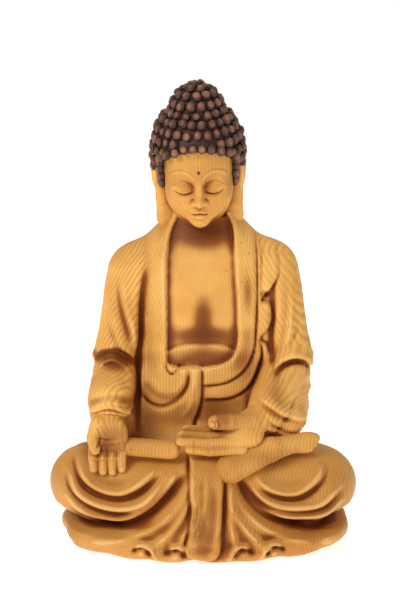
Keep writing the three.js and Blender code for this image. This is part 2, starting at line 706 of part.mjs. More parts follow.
const statue = new THREE.Group();
for (const [name, block] of Object.entries(blocks))
  statue.add(mesh(name, geometryOf(largest(block)), "wood"));

for (const [name, block] of Object.entries(headBlocks)) {
  const material = name.startsWith("hair") || name.startsWith("curl") ? "hair" : "wood";
  head.add(mesh(name, geometryOf(largest(block)), material));
}
const bead = mesh("brow_bead", new THREE.SphereGeometry(BEAD_RADIUS, 10, 8), "bead");
bead.position.set(...beadPlace);
head.add(bead);
const hairPeg = mesh(
  "hair_peg",
  new THREE.CylinderGeometry(DOWEL_RADIUS, DOWEL_RADIUS, HAIR_PEG_LENGTH, SMALL_SIDES),
  "dowel",
);
hairPeg.rotation.x = Math.PI / 2;
hairPeg.position.set(...hairPegMiddle);
head.add(hairPeg);
statue.add(head);

for (const { name, middle, direction, radius, length } of pins) {
  const shape = new THREE.CylinderGeometry(radius, radius, length, SMALL_SIDES);
  const made = mesh(name, shape, "dowel");
  made.position.set(...middle);
  made.quaternion.setFromUnitVectors(UP, direction);
  statue.add(made);
}

const board = cut(
  ovalPlate(BOARD_HALF_WIDTH, BOARD_HALF_DEPTH, boardMiddle, FELT_THICKNESS, boardTop),
  screwHoles,
);
statue.add(mesh("base_board", geometryOf(board), "board"));
statue.add(
  mesh(
    "base_felt",
    geometryOf(ovalPlate(BOARD_HALF_WIDTH, BOARD_HALF_DEPTH, boardMiddle, 0, FELT_THICKNESS - 0.1)),
    "felt",
  ),
);
for (const { name, x, y } of screws) {
  const made = mesh(name, screwGeometry(), "brass");
  made.position.set(x, y, SCREW_FOOT);
  statue.add(made);
}

export default statue;
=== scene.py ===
import math
import bpy
import numpy as np
from mathutils import Matrix, Vector


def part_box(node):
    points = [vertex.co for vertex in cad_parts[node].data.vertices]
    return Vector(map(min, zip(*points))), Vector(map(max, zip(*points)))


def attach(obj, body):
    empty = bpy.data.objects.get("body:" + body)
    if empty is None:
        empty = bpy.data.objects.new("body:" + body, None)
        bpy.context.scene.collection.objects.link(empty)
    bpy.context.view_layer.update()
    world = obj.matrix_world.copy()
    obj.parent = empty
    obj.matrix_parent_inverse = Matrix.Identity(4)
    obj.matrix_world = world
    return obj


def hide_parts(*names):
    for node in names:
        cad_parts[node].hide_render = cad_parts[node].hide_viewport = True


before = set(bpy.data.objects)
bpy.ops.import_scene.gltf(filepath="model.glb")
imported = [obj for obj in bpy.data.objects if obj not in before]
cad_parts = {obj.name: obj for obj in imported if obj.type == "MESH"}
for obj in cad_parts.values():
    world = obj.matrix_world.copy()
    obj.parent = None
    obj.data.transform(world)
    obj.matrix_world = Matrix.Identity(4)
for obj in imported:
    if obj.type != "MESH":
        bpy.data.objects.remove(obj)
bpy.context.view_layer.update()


# ---- Camera --------------------------------------------------------------------------------
# A long lens looks slightly down at the middle of the figure.
LENS = 100.0
ELEVATION = math.radians(10)
LOOK_AT = Vector((-0.002, 0, 0.158))
DISTANCE = 1.078


def put_in_scene(name, data):
    made = bpy.data.objects.new(name, data)
    bpy.context.scene.collection.objects.link(made)
    return made


camera_data = bpy.data.cameras.new("camera")
camera_data.lens = LENS
camera = put_in_scene("camera", camera_data)
backward = Vector((0, -math.cos(ELEVATION), math.sin(ELEVATION)))
camera.location = LOOK_AT + DISTANCE * backward
camera.rotation_euler = (math.pi / 2 - ELEVATION, 0, 0)
bpy.context.scene.camera = camera


# ---- Carved body: lap, trunk, upper arms and sleeves -----------------------------------------
# Joined blocks of one pale softwood, roughed out as balls, ovals and tapering limbs that flow
# into each other, then cut with the folds of the robe. The block seams are planed to fit, so
# the carving runs on across them.
MM = 0.001
STEP = 1.04


def oval(middle, semi):
    """Distance to an oval: the scaled radius less one, times the radius over its gradient."""
    middle, semi = np.array(middle, np.float32), np.array(semi, np.float32)

    def distance(*place):
        scaled = [(p - m) / s for p, m, s in zip(place, middle, semi)]
        radius = np.sqrt(sum(q * q for q in scaled))
        slope = np.sqrt(sum((q / s) ** 2 for q, s in zip(scaled, semi)))
        return radius * (radius - 1) / np.maximum(slope, 1e-4)

    return distance, middle - semi, middle + semi


def limb(start, start_radius, end, end_radius, flat=1.0):
    """Distance to a tapering round limb: to the nearest point of its middle line, less the
    radius there. A flat under one squeezes it from front to back."""
    start, end = np.array(start, np.float32), np.array(end, np.float32)
    run = end - start
    length = float(run @ run)
    most = max(start_radius, end_radius)

    def distance(*place):
        away = [p - s for p, s in zip(place, start)]
        along = np.clip(sum(a * r for a, r in zip(away, run)) / length, 0, 1)
        off = [a - along * r for a, r in zip(away, run)]
        off[1] = off[1] / flat
        gap = np.sqrt(sum(o * o for o in off))
        return gap - (start_radius + along * (end_radius - start_radius))

    return distance, np.minimum(start, end) - most, np.maximum(start, end) + most


def column(heights, half_widths, half_depths, middles, power=2.0):
    """Distance to an upright column whose section changes with height: the section's rounded
    radius less one, times its smaller half, or the distance past either end."""

    def distance(x, y, z):
        wide, deep, middle = (np.interp(z, heights, row) for row in (half_widths, half_depths, middles))
        scaled = (np.abs(x / wide) ** power + np.abs((y - middle) / deep) ** power) ** (1 / power)
        side = (scaled - 1) * np.minimum(wide, deep)
        return np.maximum(side, np.maximum(heights[0] - z, z - heights[-1])).astype(np.float32)

    wide, deep = max(half_widths), max(half_depths)
    low = np.array([-wide, min(middles) - deep, heights[0]])
    high = np.array([wide, max(middles) + deep, heights[-1]])
    return distance, low, high


def flow(first, second, blend):
    """The nearer of two distances, rounded where they meet over the length blend."""
    if blend <= 0:
        return np.minimum(first, second)
    share = np.clip(0.5 + 0.5 * (second - first) / blend, 0, 1)
    return second + (first - second) * share - blend * share * (1 - share)


class Carving:
    """A block of wood sampled on a regular grid, in millimetres: each sample holds its
    distance to the carved surface, negative inside the wood."""

    CORNERS = np.array([[i & 1, i >> 1 & 1, i >> 2 & 1] for i in range(8)])
    EMPTY = 60.0
    ADD_REACH = 9
    CUT_REACH = 3

    def __init__(self, low, high, step, place=None):
        self.step = step
        self.low = np.array(low, np.float32)
        counts = [int((b - a) / step) + 2 for a, b in zip(low, high)]
        self.axes = [(a + step * np.arange(n)).astype(np.float32) for a, n in zip(self.low, counts)]
        self.depth = np.full(counts, self.EMPTY, np.float32)
        self.place = place or Matrix.Identity(4)

    def window(self, low, high, margin):
        """The slices of the grid that hold a box, and the coordinates there as open arrays."""
        cuts = []
        for axis, a, b in zip(self.axes, low, high):
            first = max(0, int((a - margin - axis[0]) / self.step))
            last = min(len(axis), int((b + margin - axis[0]) / self.step) + 2)
            cuts.append(slice(first, max(first, last)))
        return tuple(cuts), np.ix_(*(axis[c] for axis, c in zip(self.axes, cuts)))

    def add(self, form, blend=0.0):
        distance, low, high = form
        cuts, places = self.window(low, high, self.ADD_REACH + blend)
        self.depth[cuts] = flow(self.depth[cuts], distance(*places), blend)

    def cut(self, form, blend=0.0):
        distance, low, high = form
        cuts, places = self.window(low, high, self.CUT_REACH + blend)
        self.depth[cuts] = -flow(-self.depth[cuts], distance(*places), blend)

    def sample(self, values, points):
        """Values on the grid at any points, evened between the eight samples around each."""
        spot = (points - self.low) / self.step
        spot = np.clip(spot, 0, np.array(self.depth.shape) - 1.001)
        first = spot.astype(np.int32)
        part = (spot - first).astype(np.float32)
        total = np.zeros(len(points), np.float32)
        for corner in self.CORNERS:
            weight = np.prod(np.where(corner, part, 1 - part), axis=1)
            total += weight * values[tuple((first + corner).T)]
        return total

    def slopes(self, points):
        """The outward direction at points: the rise of the depth over a step and a half."""
        offsets = 0.75 * self.step * np.eye(3, dtype=np.float32)
        rises = [
            self.sample(self.depth, points + offset) - self.sample(self.depth, points - offset)
            for offset in offsets
        ]
        slope = np.stack(rises, axis=1)
        return slope / np.maximum(np.linalg.norm(slope, axis=1, keepdims=True), 1e-6)

    def skin(self, name, chosen=None):
        """The closed surface of the wood, or of the chosen samples, as a mesh object. Every
        cell that the surface crosses holds one point, at the mean of the crossings on its
        edges, and every grid edge that it crosses is a face of four such points. A seam
        between blocks runs half way between samples and meets the outside at shared points."""
        block = self.depth < 0 if chosen is None else (self.depth < 0) & chosen
        filled = [np.nonzero(block.any(axis=others))[0] for others in ((1, 2), (0, 2), (0, 1))]
        cuts = tuple(slice(max(0, f[0] - 2), f[-1] + 3) for f in filled)
        block = np.pad(block[cuts], 1)
        depth = np.pad(self.depth[cuts], 1, constant_values=self.step)
        wood = depth < 0
        cells = tuple(n - 1 for n in block.shape)
        held = np.zeros(cells, np.uint8)
        for corner in self.CORNERS:
            held += block[tuple(slice(c, c + n) for c, n in zip(corner, cells))]
        spots = np.argwhere((held > 0) & (held < 8))
        around = [tuple((spots + corner).T) for corner in self.CORNERS]
        near_depth = np.stack([depth[a] for a in around])
        near_wood = np.stack([wood[a] for a in around])
        near_block = np.stack([block[a] for a in around])
        outer = np.zeros((len(spots), 4), np.float32)
        seam = np.zeros((len(spots), 4), np.float32)
        for axis in range(3):
            for start in (i for i in range(8) if not self.CORNERS[i][axis]):
                end = start | 1 << axis
                here, there = near_depth[start], near_depth[end]
                crosses = near_wood[start] != near_wood[end]
                share = here / np.where(crosses, here - there, 1)
                for total, used, part in (
                    (outer, crosses, share),
                    (seam, near_block[start] != near_block[end], np.float32(0.5)),
                ):
                    total[:, :3] += used[:, None] * self.CORNERS[start]
                    total[:, axis] += used * part
                    total[:, 3] += used
        total = np.where(outer[:, 3:] > 0, outer, seam)
        corner = np.array([c.start - 1 for c in cuts])
        points = self.low + self.step * (corner + spots + total[:, :3] / total[:, 3:])

        numbers = np.full(cells, -1, np.int32)
        numbers[tuple(spots.T)] = np.arange(len(spots))
        quads = []
        for axis in range(3):
            second, third = (axis + 1) % 3, (axis + 2) % 3
            ahead = np.roll(block, -1, axis)
            ahead[tuple(-1 if k == axis else slice(None) for k in range(3))] = False
            edges = np.argwhere(block != ahead)
            rising = block[tuple(edges.T)]
            ring = []
            for a, b in ((0, 0), (1, 0), (1, 1), (0, 1)):
                cell = edges.copy()
                cell[:, second] -= a
                cell[:, third] -= b
                ring.append(numbers[tuple(cell.T)])
            ring = np.stack(ring, axis=1)
            quads.append(np.where(rising[:, None], ring, ring[:, ::-1]))
        quads = np.concatenate(quads)
        self.normals = self.slopes(points)
        return self.mesh(name, points, quads)

    def mesh(self, name, points, quads):
        """A mesh object in metres from points in the carving's own place and faces of four."""
        turn = np.array(self.place.to_3x3(), np.float32)
        made = bpy.data.meshes.new(name)
        world = (points @ turn.T + np.array(self.place.translation)) * MM
        made.vertices.add(len(world))
        made.vertices.foreach_set("co", world.astype(np.float32).ravel())
        made.loops.add(quads.size)
        made.loops.foreach_set("vertex_index", quads.astype(np.int32).ravel())
        made.polygons.add(len(quads))
        made.polygons.foreach_set("loop_start", np.arange(0, quads.size, 4, dtype=np.int32))
        made.update()
        made.shade_smooth()
        made.normals_split_custom_set_from_vertices((self.normals @ turn.T).tolist())
        piece = put_in_scene(name, made)
        carved.append((piece, self))
        return piece


carved = []


def stand_for(piece, node):
    """The piece rides on the figure's one body and is shown in place of the plain node."""
    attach(piece, "root")
    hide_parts(node)


def curve_points(points, steps=14):
    """A smooth line through a few points: cubic pieces that pass through each of them."""
    points = np.array(points, float)
    ends = np.vstack([2 * points[0] - points[1], points, 2 * points[-1] - points[-2]])
    share = np.linspace(0, 1, steps, endpoint=False)[:, None]
    pieces = []
    for a, b, c, d in zip(ends, ends[1:], ends[2:], ends[3:]):
        pieces.append(
            0.5 * (2 * b + (c - a) * share + (2 * a - 5 * b + 4 * c - d) * share**2
                   + (3 * b - a - 3 * c + d) * share**3)
        )
    return np.vstack(pieces + [points[-1:]])


class Relief:
    """A map of how far the surface stands proud, over two of the grid's axes. Strokes raise
    or sink it along smooth lines and fade out at both ends."""

    def __init__(self, across, up):
        self.across, self.up = across, up
        self.height = np.zeros((len(across), len(up)), np.float32)

    def follow(self, points, taper):
        """For each sample: the signed distance to the line, positive on its left, and a
        weight that fades to nothing over the taper length at each end."""
        line = curve_points(points)
        a, b = np.meshgrid(self.across, self.up, indexing="ij")
        best = np.full(a.shape, 1e9)
        signed = np.zeros(a.shape)
        reach = np.zeros(a.shape)
        lengths = np.concatenate([[0], np.cumsum(np.linalg.norm(np.diff(line, axis=0), axis=1))])
        for start, end, before in zip(line, line[1:], lengths):
            run = end - start
            size = np.hypot(*run) + 1e-9
            along = np.clip(((a - start[0]) * run[0] + (b - start[1]) * run[1]) / size, 0, size)
            off_a = a - start[0] - along * run[0] / size
            off_b = b - start[1] - along * run[1] / size
            gap = off_a**2 + off_b**2
            nearer = gap < best
            best = np.where(nearer, gap, best)
            side = np.sign(run[0] * off_b - run[1] * off_a)
            signed = np.where(nearer, side * np.sqrt(gap), signed)
            reach = np.where(nearer, before + along, reach)
        fade = np.minimum(reach, lengths[-1] - reach) / max(taper, 1e-6)
        return signed, np.clip(fade, 0, 1) ** 0.7

    def groove(self, points, width, depth, taper=8.0):
        away, fade = self.follow(points, taper)
        self.height -= (depth * fade * np.exp(-((away / width) ** 2))).astype(np.float32)

    def ridge(self, points, width, height, taper=8.0):
        self.groove(points, width, -height, taper)

    def wave(self, points, width, height, taper=12.0):
        """A soft fold of cloth: a round ridge on the left of the line, a hollow on its right."""
        away, fade = self.follow(points, taper)
        ridge = np.exp(-((away / width - 0.8) ** 2))
        hollow = np.exp(-((away / width + 0.7) ** 2))
        self.height += (height * fade * (ridge - hollow)).astype(np.float32)

    def terrace(self, points, height, spread=1e6, crisp=0.7, taper=0.0):
        """A step up on the left of the line that dies away over the spread."""
        away, fade = self.follow(points, taper)
        step = 0.5 + 0.5 * np.tanh(away / crisp)
        fall = np.exp(-np.maximum(away, 0) / spread)
        self.height += (height * fade * step * fall).astype(np.float32)


class Socket:
    """An output socket of a material's nodes. Arithmetic on it adds Math nodes, and node()
    adds any other node to the same material."""

    def __init__(self, tree, socket=None):
        self.tree, self.socket = tree, socket

    def node(self, kind, inputs=None, output=0, **settings):
        """Adds a node. Its settings come first, then its inputs, which are values or other
        Sockets, by name or number."""
        made = self.tree.nodes.new(kind)
        for name, value in settings.items():
            setattr(made, name, value)
        for name, value in (inputs or {}).items():
            if isinstance(value, Socket):
                self.tree.links.new(value.socket, made.inputs[name])
            else:
                made.inputs[name].default_value = value
        return Socket(self.tree, made.outputs[output])

    def maths(self, operation, *values):
        return self.node("ShaderNodeMath", dict(enumerate(values)), operation=operation)

    def __add__(self, other):
        return self.maths("ADD", self, other)

    def __radd__(self, other):
        return self.maths("ADD", other, self)

    def __sub__(self, other):
        return self.maths("SUBTRACT", self, other)

    def __rsub__(self, other):
        return self.maths("SUBTRACT", other, self)

    def __mul__(self, other):
        return self.maths("MULTIPLY", self, other)

    def __rmul__(self, other):
        return self.maths("MULTIPLY", other, self)

    def __truediv__(self, other):
        return self.maths("DIVIDE", self, other)

    def __pow__(self, other):
        return self.maths("POWER", self, other)

    def between(self, low, high):
        """0 at low and 1 at high, with soft ends, whichever of them is larger."""
        return self.node(
            "ShaderNodeMapRange",
            {"Value": self, "From Min": low, "From Max": high},
            interpolation_type="SMOOTHSTEP",
        )

    def blend(self, first, second):
        """The colour first where this is 0, turning into second where it is 1."""
        return self.node("ShaderNodeMix", {0: self, 6: first, 7: second}, output=2, data_type="RGBA")

    def noise(self, scale, detail, roughness):
        """Smooth noise from 0 to 1 over this vector."""
        return self.node(
            "ShaderNodeTexNoise",
            {"Vector": self, "Scale": scale, "Detail": detail, "Roughness": roughness},
        )

    def part(self, axis):
        """One coordinate of this vector."""
        return self.node("ShaderNodeSeparateXYZ", {0: self}, output=axis)

    def stretch(self, scale):
        return self.node("ShaderNodeMapping", {"Vector": self, "Scale": scale})


def new_material(name):
    """A material with a Principled shader: returns it, a Socket to build from, the object's
    coordinates in metres, and the shader node."""
    material = bpy.data.materials.new(name)
    material.use_nodes = True
    tree = material.node_tree
    shader = tree.nodes["Principled BSDF"]
    place = Socket(tree).node("ShaderNodeTexCoord", output=3)
    return material, place, shader


def connect(shader, **inputs):
    tree = shader.id_data
    for name, value in inputs.items():
        socket = shader.inputs[name.replace("_", " ")]
        if isinstance(value, Socket):
            tree.links.new(value.socket, socket)
        else:
            socket.default_value = value


RING = 0.0019
PITH = (-0.26, 0.06)
ARM_START = 0.036
ARM_LEAN = 0.45
CHEST_HALF = 0.026
FAN_START, FAN_HEIGHT, FAN_RATE = 0.13, 0.06, 13
WANDER, WAVER, TREMBLE = 0.015, 0.0035, 0.0018
OCHRE = (0.90, 0.49, 0.125, 1)
HONEY = (0.72, 0.335, 0.072, 1)
# pale bare wood on the edges and fold crests: wear and a painted highlight
WORN_HIGHLIGHT = (0.93, 0.58, 0.22, 1)
LATEWOOD = (0.47, 0.185, 0.032, 1)
AMBER = (0.42, 0.155, 0.025, 1)
# stain colours for the hollows, which also paint the shade that falls there
SIENNA = (0.25, 0.060, 0.006, 1)
RUSSET = (0.125, 0.025, 0.005, 1)
# darkest in the knife cuts: stain and painted shade; also the worm holes
UMBER = (0.045, 0.011, 0.004, 1)


def wood_rings(place):
    """The growth rings at a place: 0 in the pale early wood, rising to 1 in the dark late
    wood and dropping at once to the next ring. Rings are shells round an upright pith that
    stands behind the figure's right shoulder, made uneven by slow noise. They fan out below
    the neck, and lean outwards with the arms."""
    x, y, z = (place.part(axis) for axis in range(3))
    wander = place.stretch((1, 1, 0.5)).noise(11, 2, 0.45) - 0.5
    waver = place.stretch((1, 1, 0.4)).noise(32, 1, 0.5) - 0.5
    tremble = place.stretch((1, 1, 0.2)).noise(70, 2, 0.6) - 0.5
    outside = x.maths("MAXIMUM", x.maths("ABSOLUTE", x) - ARM_START, 0)
    lean = x.maths("SIGN", x) * outside * z.between(0.075, 0.105) * ARM_LEAN
    raised = z.maths("MINIMUM", z.maths("MAXIMUM", z - FAN_START, 0), FAN_HEIGHT)
    fan = FAN_RATE * raised * z.between(0.225, 0.200)
    inner = x.maths("MAXIMUM", x.maths("MINIMUM", x, CHEST_HALF), -CHEST_HALF)
    across = x + inner * fan - lean - PITH[0]
    behind = y - PITH[1]
    radius = (across * across + behind * behind) ** 0.5
    radius = radius + WANDER * wander + WAVER * waver + TREMBLE * tremble
    turn = radius / RING
    share = turn - turn.maths("FLOOR", turn)
    return share.between(0.2, 0.88) * share.between(1.0, 0.9)


def carved_wood():
    """Pale rings, darker towards the floor and weaker on the head, then the stain by how hollow a point is,
    which also paints the shade in the hollows, wiped off again on the edges, which are left pale as wear and
    as a painted highlight, and darkest in creases, as stain and painted shade, and in worm holes."""
    material, place, shader = new_material("stained softwood with painted shade")
    hollow = place.node("ShaderNodeAttribute", output=2, attribute_name="hollow")
    crease = place.node("ShaderNodeAttribute", output=2, attribute_name="crease")
    ring = wood_rings(place)
    height = place.part(2)
    patch = place.noise(22, 3, 0.55)
    fibre = place.stretch((1, 1, 0.05)).noise(1100, 2, 0.6)
    tone = patch.between(0.35, 0.75).blend(OCHRE, HONEY)
    tone = (height.between(0.100, 0.045) * 0.5).blend(tone, AMBER)
    strong = place.stretch((1, 1, 0.5)).noise(38, 2, 0.5).between(0.3, 0.7)
    high = height.between(0.205, 0.225)
    grain = (ring * (0.22 + 0.42 * strong) * (1 - 0.35 * high)).blend(tone, LATEWOOD)
    grain = (fibre.between(0.5, 0.8) * 0.18).blend(grain, LATEWOOD)
    # stain left in the hollows together with painted shade there; the pale edges are wear and a painted
    # highlight
    stain_and_shade = hollow + (patch - 0.5) * 0.6
    grain = (stain_and_shade.between(-0.3, -1.0) * 0.5).blend(grain, WORN_HIGHLIGHT)
    stained_and_shaded = (stain_and_shade.between(0.0, 1.0) * 0.94).blend(grain, SIENNA)
    stained_and_shaded = (stain_and_shade.between(0.75, 1.7) * 0.75).blend(stained_and_shaded, RUSSET)
    worm = {"Vector": place, "Scale": 200.0}
    hole = place.node("ShaderNodeTexVoronoi", worm).between(0.09, 0.06)
    chance = place.node("ShaderNodeTexVoronoi", worm, output=1)
    hole = hole * chance.node("ShaderNodeSeparateColor", {0: chance}).between(0.72, 0.74)
    # creases darkened as stain and painted shade, and worm holes
    dark = crease.maths("MAXIMUM", crease.between(0.0, 1.0), hole)
    colour = dark.blend(stained_and_shaded, UMBER)
    bump = place.node(
        "ShaderNodeBump", {"Height": ring * 0.8 + fibre * 0.5, "Strength": 0.3, "Distance": 0.0002}
    )
    connect(
        shader, Base_Color=colour, Roughness=0.42 + 0.16 * fibre, Normal=bump, Coat_Weight=0.03,
        Coat_Roughness=0.3, Specular_IOR_Level=0.15,
    )
    return material


WOOD = carved_wood()


def box_mm(node):
    return [np.array(corner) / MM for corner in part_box(node)]


lap_low, lap_high = box_mm("lap_block")
trunk_low, trunk_high = box_mm("trunk_front")
LAP_SEAM = (lap_high[2] + trunk_low[2]) / 2
SIDE_SEAM = trunk_high[0]
BACK_SEAM = trunk_high[1]
NECK_ROOT = trunk_high[2]
KNEE_ROUND = 27
KNEE_X = lap_high[0] - KNEE_ROUND
MARGIN = 5
FLOOR_GAP = lap_low[2]

body = Carving(
    (lap_low[0] - MARGIN, lap_low[1] - MARGIN, -MARGIN),
    (lap_high[0] + MARGIN, lap_high[1] + MARGIN, NECK_ROOT + MARGIN),
    STEP,
)

# crossed legs under the robe
for side in (-1, 1):
    body.add(limb((side * 28, 24, 44), 30, (side * KNEE_X, -10, 37.5), KNEE_ROUND - 2), 10)
    body.add(limb((side * 66, -24, 38), 25, (side * 12, -38, 38), 24), 10)
    body.add(oval((side * (KNEE_X + 2), -6, 39.5 - side), (26, 30, 22)), 6)
body.add(oval((0, 26, 40), (60, 36, 42)), 12)
body.add(oval((0, -4, 34), (60, 52, 33)), 10)
body.add(oval((0, -36, 24), (50, 28.5, 27)), 10)
body.add(oval((0, -40, 19), (58, 25.2, 20)), 8)

# spread hem of the robe on the floor
hem = column(
    (FLOOR_GAP, 3, 9, 13.5, 19, 28),
    (82, 88.5, 93, 93, 87, 64),
    (58, 62, 64.5, 63, 57, 40),
    (-1.5, -1.5, -1.5, -1.5, -1.5, -1.5),
    2.3,
)
body.add(hem, 2.5)
# it spreads a little farther on the figure's left
body.add(oval((79, -4, 11), (15.5, 44, 11)), 5)

# trunk
body.add(
    column(
        (46, 80, 110, 139, 166, 179, 188, 195, 201, 207, 216),
        (55, 53, 51, 52, 54, 52, 47.5, 41, 35, 29, 21),
        (37, 33, 31, 31.5, 32, 31, 29, 26.5, 24, 21, 17),
        (13, 12, 10, 8, 7, 7.5, 8, 9, 9, 8, 6),
        2.2,
    ),
    12,
)

# arms inside wide sleeves
for side, shoulder, cuff, spread in ((-1, 175.5, 54, 21), (1, 177.5, 50, 19.5)):
    body.add(limb((side * 42.5, 8, shoulder), 19, (side * 52, 3, 122), 17.5), 8)
    body.add(limb((side * 52, 3, 122), 17.5, (side * cuff, 4, 84), spread), 5)

# the right forearm reaches down over the knee, the left one turns in to the lap
forearms = {
    "right": [limb((-54, 0, 112), 17.5, (-58.5, -33, 99), 15)],
    "left": [
        limb((52, 0, 112), 18, (41, -30, 92), 14),
        limb((53, -3, 101), 16, (53, -23, 85), 12.5),
    ],
}

trunk_only = body.depth.copy()
arm_depth = np.full(body.depth.shape, body.EMPTY, np.float32)
for forms in forearms.values():
    for distance, low, high in forms:
        cuts, places = body.window(low, high, 12)
        arm_depth[cuts] = np.minimum(arm_depth[cuts], distance(*places))
body.depth = flow(body.depth, arm_depth, 3.5)
body.cut(limb((-59.5, -52, 79), 12.6, (-59.5, -36, 82), 12.6), 1.0)

# folds seen from the front: the open robe over the bare chest
x_axis, y_axis, z_axis = body.axes
front = Relief(x_axis, z_axis)
CHEST_SUNK = 3.2
lapel = [
    (-13, 219), (-20, 205), (-23, 190), (-23.5, 163), (-23.3, 137), (-23.3, 122), (-19.5, 117.5),
    (-5, 117), (8, 118.3), (15.5, 121.5), (20, 127), (22, 137), (21.7, 158), (20.4, 179),
    (19, 205), (13, 219),
]
front.terrace(lapel, -CHEST_SUNK)
front.terrace(lapel[::-1], 0.7, spread=1.6, crisp=0.5)
belly = [(-25, 127.5), (-12, 131.8), (0, 133), (12, 131.8), (24, 127.5)]
front.terrace(belly[::-1], 1.3, spread=9, taper=2)
front.groove(belly, 1.0, 0.7, taper=2)
collar = [
    (30, 213), (33.3, 200), (34, 180), (34, 158), (33.6, 142), (32.3, 127), (26.6, 115),
    (15.3, 107), (-1, 104.5),
]
front.groove(collar, 0.9, 1.7, taper=4)
front.terrace(collar, -0.9, spread=14, taper=4)
second_hem = [(34.6, 134), (37.6, 128), (37, 120), (32.3, 107), (25.6, 100), (15.3, 96), (-1, 95.5)]
front.groove(second_hem, 0.9, 1.6, taper=5)
front.terrace(second_hem, -0.9, spread=10, taper=5)
front.groove([(-0.8, 118), (-0.8, 108), (-0.9, 96), (-2.6, 88), (-5.4, 81), (-6, 72)], 1.0, 2.0, 3)
front.terrace([(-0.8, 118), (-0.8, 108), (-0.9, 96), (-5.4, 81)], -1.0, spread=8, taper=3)
tucked = [(-9, 119), (-9.5, 108), (-11.6, 102), (-17, 95.5), (-26, 91), (-34.4, 92.6), (-40, 98)]
front.groove(tucked, 1.2, 1.5, taper=5)
front.terrace(tucked, 1.2, spread=7, taper=5)
front.wave([(-36, 108), (-31, 101), (-24, 98.5), (-16, 101), (-11, 109), (-9, 118)], 2.6, 0.9)
front.ridge([(-6, 116), (-6, 104), (-9, 92), (-16, 82)], 2.2, 0.9)
front.groove([(-24, 121), (-23.6, 116), (-20.5, 112.3), (-17, 115), (-14.5, 119)], 0.9, 1.8, 2)
front.ridge([(-12, 119), (-6, 117.5), (-2, 118.5)], 2.0, 1.0, 2)

# creases of the sleeves against the trunk, and folds at the shoulders
front.groove([(-37, 182), (-39.5, 161), (-40.5, 137), (-42, 121), (-42.6, 97), (-42.8, 72)], 2.0, 3.6, 45)
front.terrace([(-37, 182), (-39.5, 161), (-40.5, 137), (-42, 121), (-42.6, 97)], -0.9, 9, 2.0, 30)
front.wave([(-55, 182), (-53, 168), (-51, 154), (-46, 137), (-41.5, 120)], 2.6, 1.2, 20)
front.wave([(-64, 168), (-61.5, 152), (-58, 139), (-52.5, 128), (-44, 119)], 2.8, 1.1, 18)
front.wave([(-30, 200), (-31, 180), (-33, 160), (-34, 130), (-34, 112)], 4.0, 0.8, 25)
front.groove([(45, 178), (44.5, 150), (44, 132), (45, 118), (47, 108)], 2.4, 2.6, 30)
front.wave([(56, 176), (54.5, 150), (53, 137), (50, 126), (45, 116)], 2.6, 1.1, 20)
front.wave([(65, 150), (61, 136), (54, 125), (47, 117)], 2.4, 0.9, 14)

# the shawl end that falls from the left shoulder in stepped pleats
front.groove([(36, 211), (37.2, 195), (37, 170), (37, 158)], 0.8, 1.3, 5)
pleats = [
    (44, 210), (46.8, 203), (48, 186), (47.6, 175), (43.5, 167), (37.5, 160), (42.8, 157.5),
    (45, 148), (42.3, 141), (36.8, 134.5), (41, 130), (43.6, 123),
]
front.terrace(pleats, -1.6, spread=9, crisp=0.6, taper=6)
front.groove(pleats, 0.9, 1.0, taper=6)
front.groove([(37.6, 167), (40.5, 163.5), (43, 165)], 2.2, 1.6, 3)

# elbows bunch in arches over the forearms, and the cuffs
front.wave([(-43, 113), (-50, 121.5), (-58, 124.5), (-65, 122), (-71, 114)], 2.2, 1.9, 8)
front.groove([(-45, 112), (-51, 118.5), (-58.5, 121), (-65, 118), (-70, 110)], 1.2, 1.1, 6)
front.wave([(-46, 98), (-53, 101.5), (-60, 102.5), (-67, 100), (-72, 95)], 2.0, 1.0, 8)
front.wave([(44, 113), (50, 119.5), (58, 122), (66, 119.5), (72, 112)], 2.2, 1.9, 8)
front.groove([(46, 112), (52, 117), (59, 119), (66, 116.5), (71, 109)], 1.2, 1.1, 6)
front.groove([(-74, 84), (-70.5, 91), (-60, 95.5), (-49, 91.5), (-45, 84)], 0.8, 1.2, 3)
front.ridge([(-73, 88), (-69, 94), (-60, 98), (-50, 94.5), (-46, 88)], 1.6, 0.9, 4)
front.wave([(33, 101), (42, 96), (52, 89), (62, 84.5), (73, 84)], 2.4, 1.5, 8)
front.terrace([(74, 86), (71, 81), (63, 77.5), (52.4, 79), (43, 84.5), (35, 91)], 1.6, 8, 0.7, 4)
front.groove([(35, 91), (43, 84), (52.4, 78), (63, 76.5), (72, 80)], 1.1, 2.2, 4)

# lap: folds hang from knee to knee in nested bows and gather under the hands
for bow, width, height in (
    ([(-83, 62), (-78, 51), (-67, 43.5), (-53, 41.5), (-40, 47), (-26, 58)], 3.0, 2.4),
    ([(-88, 54), (-82, 41), (-68, 33), (-52, 31), (-36, 37), (-21, 55)], 2.8, 2.2),
    ([(-90, 38), (-80, 29), (-66, 24.5), (-50, 24.5), (-33, 34), (-15, 55)], 2.5, 1.7),
    ([(29, 60), (34, 50), (45, 43), (60, 41.5), (74, 50), (78, 60)], 2.8, 2.1),
    ([(24, 57), (33, 43), (45, 34.5), (60, 31), (76, 33), (90, 44)], 2.8, 2.2),
    ([(20, 55), (30, 38), (43, 28), (60, 24.5), (78, 25), (92, 34)], 2.4, 1.6),
):
    front.wave(bow, width, height, 16)
for groove in (
    [(-96, 26), (-88, 21), (-76, 18), (-62, 18.5), (-46, 23), (-31, 32), (-19, 45), (-11, 57)],
    [(96, 25), (87, 18.5), (72, 16.5), (57, 20), (43.5, 28), (32, 38), (23, 50), (19, 58)],
):
    front.groove(groove, 3.3, 3.4, 14)

